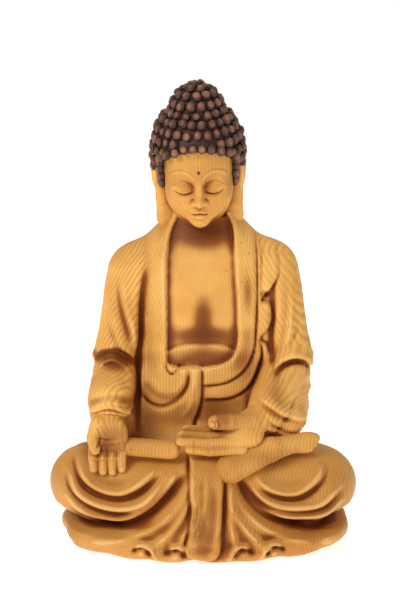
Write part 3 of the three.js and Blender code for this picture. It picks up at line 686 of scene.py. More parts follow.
# hem: ridges run down from the gather and roll over in scrolls at the floor
for ridge, height in (
    ([(-5, 56), (-9.5, 40), (-17, 27), (-27, 16), (-36, 11), (-41, 3)], 1.8),
    ([(-7, 58), (-14, 42), (-25, 29), (-40, 19), (-58, 13), (-72, 9)], 1.3),
    ([(-3, 50), (-6, 34), (-12, 20), (-14, 11), (-20, 2)], 1.7),
    ([(16, 50), (17, 30), (19, 18), (21, 11), (15, 2)], 1.7),
    ([(17, 54), (19, 37), (27, 23), (36, 13.5), (42, 9), (47, 2)], 1.8),
    ([(18, 56), (24, 40), (36, 25), (52, 16), (70, 11)], 1.3),
):
    front.ridge(ridge, 2.3, height, 10)
for scroll, turned in ((-35.5, 1), (-14.0, 1), (21.5, -1), (42.0, -1)):
    hook = [(-7.5, 9), (-4, 12.5), (0.5, 13), (3.5, 10), (4.5, 6), (8, 2)]
    hook = [(scroll + turned * across, up) for across, up in hook]
    front.ridge(hook, 1.5, 2.0, 4)
    front.groove([(across - turned * 2.4, up - 3.4) for across, up in hook[:5]], 1.6, 1.9, 3)
front.groove([(-25, 3), (-24, 8), (-21, 14)], 2.2, 1.2, 5)
front.groove([(31.5, 3), (31, 8), (28, 14)], 2.2, 1.2, 5)

# the end of the sash hangs down the middle of the lap, widening to a rounded foot
DRAPE_TOP = box_mm("front_drape")[1][2]
drape_edge = [
    (-9, DRAPE_TOP + 3), (-9, 48), (-8, 36), (-9.5, 22), (-11.5, 12), (-8, 4.5), (0, 1.8),
    (8, 4.5), (11.5, 12), (11.5, 22), (12.5, 36), (13, 48), (13, DRAPE_TOP + 3),
]
front.terrace(drape_edge, 2.6, crisp=0.8)
front.groove(drape_edge, 1.2, 1.8, 4)
front.ridge([(2.5, 60), (1.5, 46), (-0.5, 32), (-4.5, 20), (-6, 12)], 1.5, 1.1, 8)
front.groove([(7, 52), (7, 36), (6, 24), (3, 16)], 2.6, 0.8, 8)

LAP_DEEPER = 1.25
front.height *= np.clip((z_axis + 1) / 6, 0.25, 1)[None, :]
front.height *= np.where(z_axis < LAP_SEAM, LAP_DEEPER, 1.0)[None, :]
FRONT_END, FRONT_FADE = 14, 22
RELIEF = 1.3
facing = np.clip((FRONT_END - y_axis) / FRONT_FADE, 0, 1) ** 1.5
body.depth -= RELIEF * front.height[:, None, :] * facing[None, :, None]

# folds seen from behind: the shawl crosses the back from the left shoulder
back = Relief(x_axis, z_axis)
for start, end, height in ((190, 92, 1.5), (174, 84, 1.3), (158, 78, 1.3), (140, 72, 1.1)):
    back.wave([(44, start), (20, start - 14), (-12, (start + end) / 2), (-44, end)][::-1], 4, height, 20)
back.terrace([(30, 214), (18, 196), (-10, 164), (-36, 128), (-52, 96)], 1.4, 16, 0.8, 10)
for reach, sag in ((86, 26), (78, 38), (66, 50)):
    back.wave([(-reach, sag + 14), (-40, sag), (0, sag - 6), (40, sag), (reach, sag + 14)], 4, 1.5, 20)
back.groove([(-92, 24), (-60, 21), (0, 19), (60, 21), (92, 24)], 3.2, 2.6, 8)
back.groove([(-46, 170), (-45, 130), (-44, 96), (-46, 74)], 2.6, 2.4, 25)
back.groove([(46, 170), (45, 130), (44, 96), (46, 74)], 2.6, 2.4, 25)
BACK_START, BACK_FADE = 12, 16
behind = np.clip((y_axis - BACK_START) / BACK_FADE, 0, 1)
body.depth -= back.height[:, None, :] * behind[None, :, None]

# folds seen from the sides
flank = Relief(y_axis, z_axis)
for y in (-6, 5, 16):
    flank.wave([(y + 2, 186), (y, 160), (y - 2, 134), (y - 5, 116)], 3.2, 1.1, 20)
flank.wave([(-16, 112), (0, 118), (14, 120), (24, 114)], 2.6, 1.4, 8)
flank.wave([(-20, 92), (-4, 98), (12, 98), (24, 92)], 2.6, 1.0, 8)
flank.groove([(-40, 24), (-10, 20), (20, 20), (46, 25)], 3.2, 2.6, 10)
for sag in (36, 50):
    flank.wave([(-2, sag + 4), (12, sag), (26, sag), (46, sag + 8)], 3.6, 0.9, 14)
FLANK_START, FLANK_FADE = 52, 12
outward = np.clip((np.abs(x_axis) - FLANK_START) / FLANK_FADE, 0, 1)
body.depth -= flank.height[None] * outward[:, None, None]

# the hem's edge waves as cloth does, and the board's seat is cut in below
bearing = np.arctan2(x_axis[:, None], y_axis[None, :])
wave = 1.1 * np.sin(15 * bearing) + 0.8 * np.sin(9 * bearing + 1)
HEM_TOP, HEM_FADE = 20, 16
near_floor = np.clip((HEM_TOP - z_axis) / HEM_FADE, 0, 1)
body.depth -= wave[:, :, None] * near_floor[None, None, :]
body.depth = np.maximum(body.depth, (FLOOR_GAP - z_axis)[None, None, :]).astype(np.float32)
board_low, board_high = box_mm("base_board")
BOARD_CLEARANCE = 0.5
board_middle = (board_low + board_high) / 2
board_half = (board_high - board_low) / 2 + BOARD_CLEARANCE
seat = [(size, size) for size in (board_half[0], board_half[1], board_middle[1])]
body.cut(column((-9, board_high[2] + BOARD_CLEARANCE), *seat))

# the blocks, parted at the planed seams
x, y, z = np.ix_(*body.axes)
above = z > LAP_SEAM
ELBOW_SEAM = box_mm("sleeve_left")[1][1]
sleeve = above & (y < ELBOW_SEAM) & (arm_depth < trunk_only)
SASH_THICKNESS = 3.3
SASH_BACK = -30
sash_side = Relief(x_axis, z_axis).follow(drape_edge, 0)[0]
in_sash = (sash_side > 0)[:, None, :] & (z < DRAPE_TOP) & (y < SASH_BACK)
in_sash = in_sash & (body.depth > -SASH_THICKNESS)
middle_block = np.abs(x) < SIDE_SEAM
blocks = {
    "lap_block": ~above & ~in_sash,
    "front_drape": in_sash,
    "trunk_front": above & ~sleeve & middle_block & (y < BACK_SEAM),
    "trunk_back": above & ~sleeve & middle_block & (y >= BACK_SEAM),
    "upper_arm_right": above & ~sleeve & (x <= -SIDE_SEAM),
    "upper_arm_left": above & ~sleeve & (x >= SIDE_SEAM),
    "sleeve_right": sleeve & (x < 0),
    "sleeve_left": sleeve & (x > 0),
}
for node, chosen in blocks.items():
    stand_for(body.skin(f"carved_{node}", chosen), node)


# ---- Feet ------------------------------------------------------------------------------------
# Two feet carved apart and let into the lap: one lies along the right thigh with its end
# towards the middle, the other rises from the middle over the left shin, toes out.
FINE_STEP = 0.55


EDGE = 3


def block_for(forms, step):
    """A fresh block of wood that holds all the forms with a little to spare."""
    low = np.min([form[1] for form in forms], axis=0) - EDGE
    high = np.max([form[2] for form in forms], axis=0) + EDGE
    return Carving(low, high, step)


def let_in(node, forms, blend):
    """Carves a small piece from forms that flow together and makes it stand for its node."""
    carving = block_for(forms, FINE_STEP)
    for form in forms:
        carving.add(form, blend)
    stand_for(carving.skin(f"carved_{node}"), node)


foot_low, foot_high = box_mm("foot_left")
SOLE_HEIGHT = (foot_low[2] + foot_high[2]) / 2
let_in(
    "foot_left",
    [
        limb((-46, -42, SOLE_HEIGHT + 2), 5.8, (-22, -47, SOLE_HEIGHT + 1.5), 6.0),
        oval((-19, -47.5, SOLE_HEIGHT + 1.5), (4.6, 5.6, 5.6)),
    ],
    0.8,
)
let_in(
    "foot_right",
    [
        limb((17, -53, 59.5), 9.6, (42, -44, 69.5), 7.6),
        limb((42, -44, 69.5), 7.6, (64, -32, 72), 5.2),
        oval((68, -30, 73.5), (7, 5, 3.8)),
        oval((66, -33.5, 70), (6.5, 3, 2.6)),
        oval((64, -36, 67.5), (5.5, 2.6, 2.3)),
    ],
    3.0,
)


# ---- Hands -----------------------------------------------------------------------------------
# Each hand is whittled from its own block and pegged into its cuff. The right hand hangs over
# the knee, open to the front; the left lies in the lap, palm up, with its fingers stacked.
FINGER = 3.1
FINGER_PITCH = 5.9
right_wrist = np.array([-59.5, -37, 92])
right = [
    limb(right_wrist, 9, (-60, -41.5, 84), 10, 0.7),
    oval((-60, -43, 79), (12.2, 6.2, 12)),
    oval((-66.2, -46.5, 81.5), (5, 4.8, 9)),
    oval((-53.5, -46, 79), (5.2, 4.4, 9)),
]
fingers = []
for place, tip in zip((-1.5, -0.5, 0.5, 1.5), (58.2, 56.4, 56.2, 58.0)):
    across = -60.2 + place * FINGER_PITCH
    fingers.append(limb((across, -45.5, 72), FINGER + 0.1, (across * 1.003, -47.6, 65), FINGER))
    fingers.append(limb((across * 1.003, -47.6, 65), FINGER, (across, -47.2, tip), FINGER - 0.5))
thumb = [
    limb((-66.5, -46, 86), 4.6, (-69.3, -49, 78.5), 4.0),
    limb((-69.3, -49, 78.5), 4.0, (-67.6, -51.5, 71.5), 3.2),
]


def hand(node, palm, digits, reliefs):
    """A hand: the palm's forms flow together, the digits keep the knife cuts between them."""
    carving = block_for(palm + digits, FINE_STEP * 0.85)
    for form in palm:
        carving.add(form, 4)
    whole = carving.depth
    carving.depth = np.full(whole.shape, carving.EMPTY, np.float32)
    for form in digits:
        carving.add(form, 0.5)
    carving.depth = flow(carving.depth, whole, 1.6)
    lines = Relief(carving.axes[0], carving.axes[2])
    for points, width, depth in reliefs:
        lines.groove(points, width, depth, 1.5)
    facing = np.clip((-40 - carving.axes[1]) / 4, 0, 1)
    carving.depth -= lines.height[:, None, :] * facing[None, :, None]
    stand_for(carving.skin(f"carved_{node}"), node)


hand(
    "hand_right",
    right,
    fingers + thumb,
    [
        ([(-66, 86), (-64.5, 79), (-66.5, 72.5)], 0.6, 0.9),
        ([(-66, 79), (-60, 77.5), (-54, 79)], 0.55, 0.7),
        ([(-59, 74), (-54, 74.5), (-50, 76.5)], 0.55, 0.7),
        *(
            ([(-60.2 + place * FINGER_PITCH - 2.4, z), (-60.2 + place * FINGER_PITCH + 2.4, z)], 0.5, 0.6)
            for place in (-1.5, -0.5, 0.5, 1.5)
            for z in (70.5, 64.5)
        ),
    ],
)

left = [
    limb((39, -33, 90), 9.5, (29, -42, 85), 9.5, 0.85),
    oval((22, -45, 79), (15, 10, 7)),
    oval((27.5, -47, 79.5), (9.5, 8.5, 8)),
]
stacked = []
for (y, z), tip in zip(
    ((-54.5, 72.2), (-53.5, 77.0), (-49.5, 80.2), (-45.5, 82.6)), (-8.5, -14.2, -13.2, -10.5)
):
    stacked.append(limb((24, y + 1, z), 3.6, (4, y - 0.4, z - 0.6), 3.3))
    stacked.append(limb((4, y - 0.4, z - 0.6), 3.3, (tip, y + 0.8, z + 0.2), 2.9))
stacked += [
    limb((30, -45, 87), 6.2, (17, -49, 88.2), 5.2),
    limb((17, -49, 88.2), 5.2, (7.5, -50.5, 88.8), 4.6),
]
hand(
    "hand_left",
    left,
    stacked,
    [
        ([(8.6, 84.8), (10.2, 88), (8.6, 91.4)], 0.5, 0.7),
        ([(4.2, 85.8), (6.8, 86.0), (7.4, 88), (6.8, 90.2), (4.2, 90.4)], 0.45, 0.5),
        *(([(x, z - 2.5), (x, z + 2.5)], 0.5, 0.6) for x in (3.5, -5.5) for z in (72, 76.8)),
    ],
)


# ---- Head ------------------------------------------------------------------------------------
# One block with the neck as its plug, bowed a little forward, with a calm, closed-eyed face
# laid out on plain rules: five eyes wide, brow, nose and chin at even thirds.
HEAD_TILT = math.radians(11.5)
HEAD_ROLL = math.radians(-2)
HEAD_MIDDLE = (-3.0, -6, NECK_ROOT + 31.8)
HEAD_SIZE = (0.94, 0.97, 1.03, 1)
head_place = (
    Matrix.Translation(HEAD_MIDDLE) @ Matrix.Rotation(HEAD_ROLL, 4, "Y")
    @ Matrix.Rotation(HEAD_TILT, 4, "X") @ Matrix.Diagonal(HEAD_SIZE)
)
HEAD_STEP = 0.5
DECK_SLOPE = math.radians(32)
HAIRLINE = (-25, 17.7)
EYE_X = 9.8
EYE_Z = -6.0
NOSE_Z = -15.0
MOUTH_Z = -22.4


def mirrored(points):
    return [(-across, up) for across, up in points]


def both(form, *values):
    """The same form on the figure's left and right."""
    (x, y, z), *rest = values
    return [form((side * x, y, z), *rest) for side in (1, -1)]


head = Carving((-31, -36, -56), (31, 36, 30), HEAD_STEP, head_place)
home = head_place.inverted()
neck_foot = home @ Vector((0, 8, NECK_ROOT - 12))
neck_top = home @ Vector((0, 1, NECK_ROOT + 24))
head.add(oval((0, 3, 8), (25.6, 28, 28)))
head.add(oval((0, -2, -4), (23.3, 25, 30)), 4)
for form in both(oval, (9.5, -12, -12), (12, 12, 13)):
    head.add(form, 6)
head.add(oval((0, -8.5, -20.5), (16, 14.5, 12.5)), 6)
head.add(oval((0, -16.5, -28), (7, 6.8, 5.4)), 4)
head.add(limb(neck_foot, 15.5, neck_top, 16.5), 2.0)
for form in both(oval, (EYE_X, -28.6, EYE_Z + 0.9), (8.6, 5.6, 4.6)):
    head.cut(form, 4.5)
for form in both(oval, (EYE_X + 0.4, -19.2, EYE_Z - 0.4), (8.0, 5.0, 4.0)):
    head.add(form, 2.2)
head.add(limb((0, -23.6, 1), 2.0, (0, -27.4, NOSE_Z + 1.5), 2.8), 2.6)
head.add(oval((0, -28.3, NOSE_Z + 0.6), (3.1, 3.2, 2.8)), 1.6)
for form in both(oval, (3.7, -26.2, NOSE_Z), (2.1, 2.8, 2.1)):
    head.add(form, 1.0)
for form in both(oval, (1.8, -28.2, NOSE_Z - 2.3), (0.9, 1.3, 1.0)):
    head.cut(form, 0.6)
for form in both(oval, (2.5, -22.9, MOUTH_Z + 1.3), (4.2, 2.7, 1.6)):
    head.add(form, 1.2)
head.add(oval((0, -22.8, MOUTH_Z - 1.7), (4.9, 3.0, 2.0)), 1.2)

features = Relief(head.axes[0], head.axes[2])
lid_line = [(3.6, -7.2), (6.6, -9.0), (10.4, -9.6), (14, -8.6), (17.6, -6.0)]
lid_fold = [(3.4, -5.2), (6.4, -2.4), (10.4, -1.2), (14.4, -2.2), (18, -4.8)]
brow = [(2.4, -3.4), (3.8, 1.2), (7.4, 4.0), (12.2, 4.6), (17, 2.8), (20.4, -0.2)]
wing = [(3.4, -11.6), (5.8, -13.4), (6.0, -15.8)]
smile = [(6.2, -21.6), (7.4, -21.2), (8.2, -20.2)]
for side in (list, mirrored):
    features.groove(side(lid_line), 0.55, 1.0, 3)
    features.ridge([(a, b + 1.0) for a, b in side(lid_line)], 0.7, 0.25, 3)
    features.groove(side(lid_fold), 0.45, 0.4, 4)
    features.ridge(side(brow), 1.0, 0.6, 4)
    features.groove([(a, b + 1.5) for a, b in side(brow)], 0.45, 0.4, 4)
    features.groove(side(wing), 0.7, 0.5, 1.5)
    features.groove(side(smile), 0.7, 0.6, 1.5)
features.groove([(-6.8, -21.6), (-3.6, -22.8), (0, -22.3), (3.6, -22.8), (6.8, -21.6)], 0.5, 0.8, 2.5)
features.groove([(0, -17.8), (0, -20.2)], 0.9, 0.4, 1)
features.groove([(-4.5, -26.2), (0, -26.8), (4.5, -26.2)], 1.3, 0.6, 2)
for up in (-38.5, -43.5):
    features.groove([(-17, up + 3), (-9, up + 0.7), (0, up), (9, up + 0.7), (17, up + 3)], 0.8, 0.7, 4)
facing = np.clip((-6 - head.axes[1]) / 6, 0, 1)
head.depth -= features.height[:, None, :] * facing[None, :, None]


def deck(above):
    """Distance to a tool that fills one side of the sloping deck under the hair cap."""
    up = -1 if above else 1

    def distance(x, y, z):
        rise = z - HAIRLINE[1] + (y - HAIRLINE[0]) * math.tan(DECK_SLOPE)
        return (up * rise * math.cos(DECK_SLOPE) + 0 * x).astype(np.float32)

    return distance, np.full(3, -90.0), np.full(3, 90.0)


head.cut(deck(True))
stand_for(head.skin("carved_head"), "head_block")


# ---- Ears ------------------------------------------------------------------------------------
# Long-lobed ears carved apart and pegged to the sides of the head; each is a rolled rim round
# a hollow, with a heavy lobe that swings in towards the jaw.
for node, side in (("ear_right", -1), ("ear_left", 1)):
    ear = Carving(
        np.array([min(side * 13, side * 35), -9, -40]), np.array([max(side * 13, side * 35), 14, 14]),
        FINE_STEP * 0.9, head_place,
    )
    ear.add(limb((side * 29.6, 6.5, 9.0), 3.4, (side * 27.6, 7, -10), 3.0))
    ear.add(oval((side * 29, 3.6, 0.5), (3.4, 6.6, 12.0)), 2)
    ear.add(limb((side * 27.2, 4, -10), 3.4, (side * 25, 0, -24), 4.4), 3)
    ear.add(oval((side * 23.6, -1.0, -30.0), (6.2, 4.5, 7.2)), 2.5)
    ear.cut(oval((side * 32.2, 1.6, -0.5), (3.0, 3.4, 7.2)), 1.0)
    ear.cut(oval((side * 30.5, 3.5, -14), (2.4, 1.6, 5)), 1.0)
    stand_for(ear.skin(f"carved_{node}"), node)


# ---- Stain and painted shade ------------------------------------------------------------------
# A reddish-brown stain is brushed over all the carved wood and wiped off again, so that it stays in the
# hollows, darkest in the knife cuts, and leaves the edges bare. The same amounts also paint the shade that
# falls in the hollows, folds and knife cuts, with painted shadow under the chin and sleeves and a pale
# painted highlight on the edges. Each point carries the two amounts, hollow and crease.
STAIN_AND_SHADE_REACH, KNIFE_REACH, EDGE_REACH, CREASE_REACH = 4.2, 1.7, 1.8, 0.9
STROKE_REACH = 14
FRONT_HALF = 10


def closeness(carving, points, reach):
    """How much of a ball round each point is wood: a half on a flat face, more in a hollow.
    The carving's samples are averaged twice over the reach along each axis."""
    solid = (carving.depth < 0).astype(np.float32)
    width = max(1, int(round(reach / carving.step)))
    for axis in (0, 1, 2):
        for _ in range(2):
            ends = [(0, 0)] * 3
            ends[axis] = (width + 1, width)
            total = np.cumsum(np.pad(solid, ends), axis=axis, dtype=np.float32)
            near = [slice(None)] * 3
            far = [slice(None)] * 3
            near[axis] = slice(0, solid.shape[axis])
            far[axis] = slice(2 * width + 1, 2 * width + 1 + solid.shape[axis])
            solid = (total[tuple(far)] - total[tuple(near)]) / (2 * width + 1)
    return carving.sample(solid, points)


def soft_step(values, low, high):
    share = np.clip((values - low) / (high - low), 0, 1)
    return share * share * (3 - 2 * share)


# where more stain was left on or shade and shadow are painted: middle, reach across and up, amount, and how
# far forward
CHIN_FRONT = -20
STAIN_AND_SHADOW_SPOTS = (
    ((0, 150), (6, 13), 1.3),
    ((0, 138), (24, 6), 1.4),
    ((0, 124), (22, 7), 1.1),
    ((0, 204), (21, 10.5), 1.9, CHIN_FRONT),
    ((28, 166), (5, 13), 0.6),
    ((42, 163), (6, 5), 0.7),
    ((26, 117), (10, 14), 0.6),
    ((-37, 172), (4, 24), 0.6),
    ((-44, 108), (9, 30), 0.6),
    ((-52, 140), (6, 22), 0.35),
    ((46, 100), (8, 22), 0.55),
    ((50, 134), (5, 20), 0.35),
    ((-58, 99), (16, 4), 0.8),
    ((-58, 122.5), (16, 4.5), 1.5),
    ((-60, 76), (13, 15), 0.75),
    ((2, 92), (30, 7), 0.3),
    ((40, 66), (30, 6), 0.35),
    ((29, 150), (5, 40), 0.3),
    ((-2, 238), (30, 26), 0.45),
    ((-24, 236), (5, 20), 0.35),
    ((20, 236), (5, 20), 0.35),
    ((-30, 120), (6, 20), 0.35),
    ((0, 70), (70, 5), 0.35),
    ((58, 119), (16, 3), 0.5),
    ((66, 92), (12, 7), 0.4),
    ((-20, 84), (26, 9), 0.55),
    ((8, 90), (18, 12), 0.6),
    ((-62, 46), (26, 7), 0.55),
    ((-74, 62), (12, 8), 0.45),
    ((-60, 24), (36, 5), 1.5),
    ((62, 20), (30, 5), 0.4),
    ((50, 44), (20, 7), 0.45),
    ((44, 60), (12, 6), 0.45),
    ((0, 8), (70, 7), 0.45),
    ((0, 34), (24, 24), 0.65),
    ((2, 12), (9, 10), 0.35),
)
sharp = front.height.copy()
box = np.ones(int(STROKE_REACH / STEP)) / int(STROKE_REACH / STEP)
for axis in (0, 1):
    sharp = np.apply_along_axis(np.convolve, axis, sharp, box, "same")
sharp = front.height - sharp
for piece, carving in carved:
    points = np.zeros(len(piece.data.vertices) * 3, np.float32)
    piece.data.vertices.foreach_get("co", points)
    points = points.reshape(-1, 3) / MM
    home = carving.place.inverted()
    local = (points @ np.array(home.to_3x3()).T + np.array(home.translation)).astype(np.float32)
    # how hollow a point is: the stain left there and the painted shade that falls there
    broad = soft_step(closeness(carving, local, STAIN_AND_SHADE_REACH), 0.50, 0.74)
    narrow = soft_step(closeness(carving, local, KNIFE_REACH), 0.53, 0.76)
    hollow = 0.85 * broad + 0.4 * narrow
    if carving is body:
        across, up = (
            np.clip(((points[:, k] - axis[0]) / STEP).astype(int), 0, len(axis) - 1)
            for k, axis in ((0, x_axis), (2, z_axis))
        )
        # painted shade in the low parts of the front folds and painted light on their crests
        hollow -= 0.3 * np.clip(sharp[across, up], -2.0, 1.0) * (points[:, 1] < 5)
    hollow -= 0.12
    # bare pale edges: wear and a painted highlight
    hollow -= 0.8 * soft_step(-closeness(carving, local, EDGE_REACH), -0.46, -0.30)
    # spots of stain left on, with painted shadow under the chin, at the elbows and in the folds
    for (across, up), (wide, tall), amount, *foremost in STAIN_AND_SHADOW_SPOTS:
        away = ((points[:, 0] - across) / wide) ** 2 + ((points[:, 2] - up) / tall) ** 2
        reached = (points[:, 1] < FRONT_HALF) & (points[:, 1] > min(foremost, default=-99))
        hollow += amount * np.exp(-away) * reached
    # knife cuts darkest: stain and painted shade
    crease = soft_step(closeness(carving, local, CREASE_REACH), 0.60, 0.88)
    for name, values in (("hollow", hollow), ("crease", crease)):
        layer = piece.data.attributes.new(name, "FLOAT", "POINT")
        layer.data.foreach_set("value", values.astype(np.float32))
    piece.data.materials.append(WOOD)


# ---- Hair cap --------------------------------------------------------------------------------
# A cap carved to the round of the skull and the topknot above it, stained dark brown and
# pegged down on the deck; the curls are planted all over it.
BARK = (0.046, 0.015, 0.007, 1)
CHESTNUT = (0.350, 0.130, 0.058, 1)
DUST = (0.20, 0.10, 0.055, 1)


def hair_stain():
    """Dark in the gaps, warmer brown on the tips of the curls, as rubbed wear and as a painted highlight,
    and speckled.
    """
    material, place, shader = new_material("dark hair stain")
    rubbed_and_lit = place.node("ShaderNodeAttribute", output=2, attribute_name="rubbed_and_lit")
    speckle = place.noise(420, 3, 0.6)
    patch = place.noise(60, 2, 0.5)
    # paler tips of the curls: rubbed wear and a painted highlight
    tip_wear_and_highlight = rubbed_and_lit.between(0.3, 1.05) * (0.35 + 1.0 * patch)
    colour = tip_wear_and_highlight.blend(BARK, CHESTNUT)
    colour = (speckle.between(0.5, 0.75) * 0.35).blend(colour, DUST)
    bump = place.node("ShaderNodeBump", {"Height": speckle, "Strength": 0.4, "Distance": 0.0003})
    connect(shader, Base_Color=colour, Roughness=0.5 + 0.2 * speckle, Normal=bump)
    return material


HAIR = hair_stain()
SKULL = ((0, 5, 10), (29.2, 32.1, 31.2))
TOPKNOT = ((0, 5, 32), (17, 18.7, 18))
cap = Carving((-32, -30, -32), (32, 40, 53), 0.8, head_place)
cap.add(oval(*SKULL))
cap.add(oval(*TOPKNOT), 3)
cap.cut(deck(False))
cap_piece = cap.skin("hair_cap_carved")
stand_for(cap_piece, "hair_cap")
cap_piece.data.materials.append(HAIR)


# ---- Curls -----------------------------------------------------------------------------------
# Small turned knobs, each cut with a shallow spiral like a snail's shell, planted in rows
# from the nape to the crown, every second row set off by half a knob.
CURL_ROWS = 12
NAPE = math.radians(-52)
AXIS_Z = (SKULL[0][2] + TOPKNOT[0][2]) / 2
FRONT_STRETCH = SKULL[1][1] / SKULL[1][0]
AROUND, UPWARD = 14, 8


def hair_outline(angle):
    """Radius and height of the hair as seen at an angle from its axis: the farther crossing
    of a ray with the skull's and the topknot's ovals."""
    out, up = np.cos(angle), np.sin(angle)
    far = 0
    for middle, semi in (SKULL, TOPKNOT):
        low = AXIS_Z - middle[2]
        a = (out / semi[0]) ** 2 + (up / semi[2]) ** 2
        b = low * up / semi[2] ** 2
        c = (low / semi[2]) ** 2 - 1
        far = np.maximum(far, (-b + np.sqrt(np.maximum(b * b - a * c, 0))) / a)
    return np.stack([far * out, AXIS_Z + far * up], axis=-1)


outline = hair_outline(np.linspace(NAPE, math.pi / 2, 601))
walked = np.concatenate([[0], np.cumsum(np.linalg.norm(np.diff(outline, axis=0), axis=1))])
row_pitch = walked[-1] / CURL_ROWS
CURL_RADIUS = row_pitch / 2


def curl_shape():
    """One knob on a grid of turn and rise: a ball's upper two thirds whose radius winds in and out once per
    turn and twice from foot to tip. Returns points and an amount for the paler tip, rubbed wear and painted
    highlight."""
    turn, rise = np.meshgrid(np.linspace(0, 2 * np.pi, AROUND, endpoint=False),
                             np.linspace(0, 1, UPWARD), indexing="ij")
    lean = np.radians(-35 + 125 * rise)
    wind = 1 + 0.16 * np.cos(turn - 4 * np.pi * rise) * np.sin(np.pi * rise)
    radius = 0.98 * CURL_RADIUS * np.cos(lean) * wind
    height = CURL_RADIUS * (0.50 + 0.92 * np.sin(lean))
    points = np.stack([radius * np.cos(turn), radius * np.sin(turn), height], axis=-1)
    return points.reshape(-1, 3), (rise * wind).ravel()


def grid_faces(around, upward):
    """Faces of a grid that closes on itself the first way, numbered as its points are."""
    i, j = np.meshgrid(np.arange(around), np.arange(upward - 1), indexing="ij")
    ahead = (i + 1) % around
    ring = [i * upward + j, ahead * upward + j, ahead * upward + j + 1, i * upward + j + 1]
    return np.stack(ring, axis=-1).reshape(-1, 4)


knob, rubbed_and_lit = curl_shape()
knob_faces = grid_faces(AROUND, UPWARD)
bottom = np.arange(AROUND)[::-1] * UPWARD
rng = np.random.default_rng(4)


def plant(node, spots, outs, name=None):
    """One row of knobs as a mesh: the knob turned to each outward direction, at its spot."""
    spots = spots + rng.normal(0, 0.22, spots.shape)
    outs = outs + rng.normal(0, 0.10, outs.shape)
    outs /= np.linalg.norm(outs, axis=1, keepdims=True)
    ups = np.cross(outs, np.cross(np.array([0.0, 0.0, 1.0]) + 1e-3, outs))
    ups /= np.linalg.norm(ups, axis=1, keepdims=True)
    sides = np.cross(ups, outs)
    spin = rng.uniform(0, 2 * np.pi, len(spots))[:, None]
    across = sides * np.cos(spin) + ups * np.sin(spin)
    other = np.cross(outs, across)
    size = rng.uniform(0.86, 1.06, (len(spots), 1, 1))
    local = size * knob[None]
    points = (spots[:, None] + local[..., :1] * across[:, None] + local[..., 1:2] * other[:, None]
              + local[..., 2:] * outs[:, None])
    turn = np.array(head_place.to_3x3())
    points = (points.reshape(-1, 3) @ turn.T + np.array(head_place.translation)) * MM
    starts = np.arange(len(spots))[:, None, None] * len(knob)
    faces = (starts + knob_faces).reshape(-1, 4).tolist()
    faces += (starts[:, 0] + bottom).tolist()
    made = bpy.data.meshes.new(node)
    made.from_pydata(points.tolist(), [], faces)
    made.shade_smooth()
    # paler knob tips: rubbed wear and a painted highlight
    made.attributes.new("rubbed_and_lit", "FLOAT", "POINT").data.foreach_set(
        "value", (rubbed_and_lit * rng.uniform(0.7, 1.15, (len(spots), 1))).ravel().astype(np.float32)
    )
    stand_for(put_in_scene(name or f"{node}_knobs", made), node)
    made.materials.append(HAIR)


# the lowest curls line the edge of the cap, and a short strip hangs before each ear
EDGE_SPREAD = math.radians(128)
edge_spots, edge_outs = [], []
edge_count = round(2 * EDGE_SPREAD * SKULL[1][0] / (1.95 * CURL_RADIUS))
for bearing in np.linspace(-EDGE_SPREAD, EDGE_SPREAD, edge_count):
    around = np.stack(
        [outline[:, 0] * math.sin(bearing),
         SKULL[0][1] - FRONT_STRETCH * outline[:, 0] * math.cos(bearing), outline[:, 1]], axis=1
    )
    rise = around[:, 2] - HAIRLINE[1] + (around[:, 1] - HAIRLINE[0]) * math.tan(DECK_SLOPE)
    spot = around[np.argmax(rise > 0.25 * CURL_RADIUS)]
    edge_spots.append(spot)
    edge_outs.append((spot - np.array(SKULL[0])) / np.array(SKULL[1]) ** 2)
for side in (-1, 1):
    for across, depth, up in ((24.4, -11.0, 8.5), (24.2, -9.6, 3.4), (23.8, -8.6, -1.4), (23.4, -7.8, -5.6)):
        edge_spots.append((side * across, depth, up))
        edge_outs.append((side * 0.034, -0.022, 0))
edge_outs = np.array(edge_outs)
edge_outs /= np.linalg.norm(edge_outs, axis=1, keepdims=True)
edge_spots = np.array(edge_spots)

for row in range(CURL_ROWS):
    at, low, high = (
        np.array([np.interp(walk * row_pitch, walked, outline[:, k]) for k in (0, 1)])
        for walk in (row, max(row - 0.5, 0), row + 0.5)
    )
    along = (high - low) / np.linalg.norm(high - low)
    away = np.array([along[1], -along[0]])
    count = max(5, round(2 * math.pi * at[0] * (1 + FRONT_STRETCH) / 2 / (2.12 * CURL_RADIUS)))
    bearing = 2 * np.pi * (np.arange(count) + 0.5 * (row % 2)) / count
    spots = np.stack(
        [at[0] * np.sin(bearing), SKULL[0][1] - FRONT_STRETCH * at[0] * np.cos(bearing),
         np.full(count, at[1])], axis=1
    )
    outs = np.stack(
        [away[0] * np.sin(bearing), -away[0] * np.cos(bearing) / FRONT_STRETCH,
         np.full(count, away[1])], axis=1
    )
    outs /= np.linalg.norm(outs, axis=1, keepdims=True)
    rise = spots[:, 2] - HAIRLINE[1] + (spots[:, 1] - HAIRLINE[0]) * math.tan(DECK_SLOPE)
    gaps = np.linalg.norm(spots[:, None] - edge_spots[None], axis=2).min(axis=1)
    kept = (rise * math.cos(DECK_SLOPE) > 0.6 * CURL_RADIUS) & (gaps > 1.0 * CURL_RADIUS)
    plant(f"curl_row_{row + 1}", spots[kept], outs[kept])
plant("hair_cap", edge_spots, edge_outs, "hair_cap_edge_knobs")
crown = np.array([[0, SKULL[0][1], outline[-1, 1]]])
plant("curl_crown", crown, np.array([[0.0, 0.02, 1.0]]))


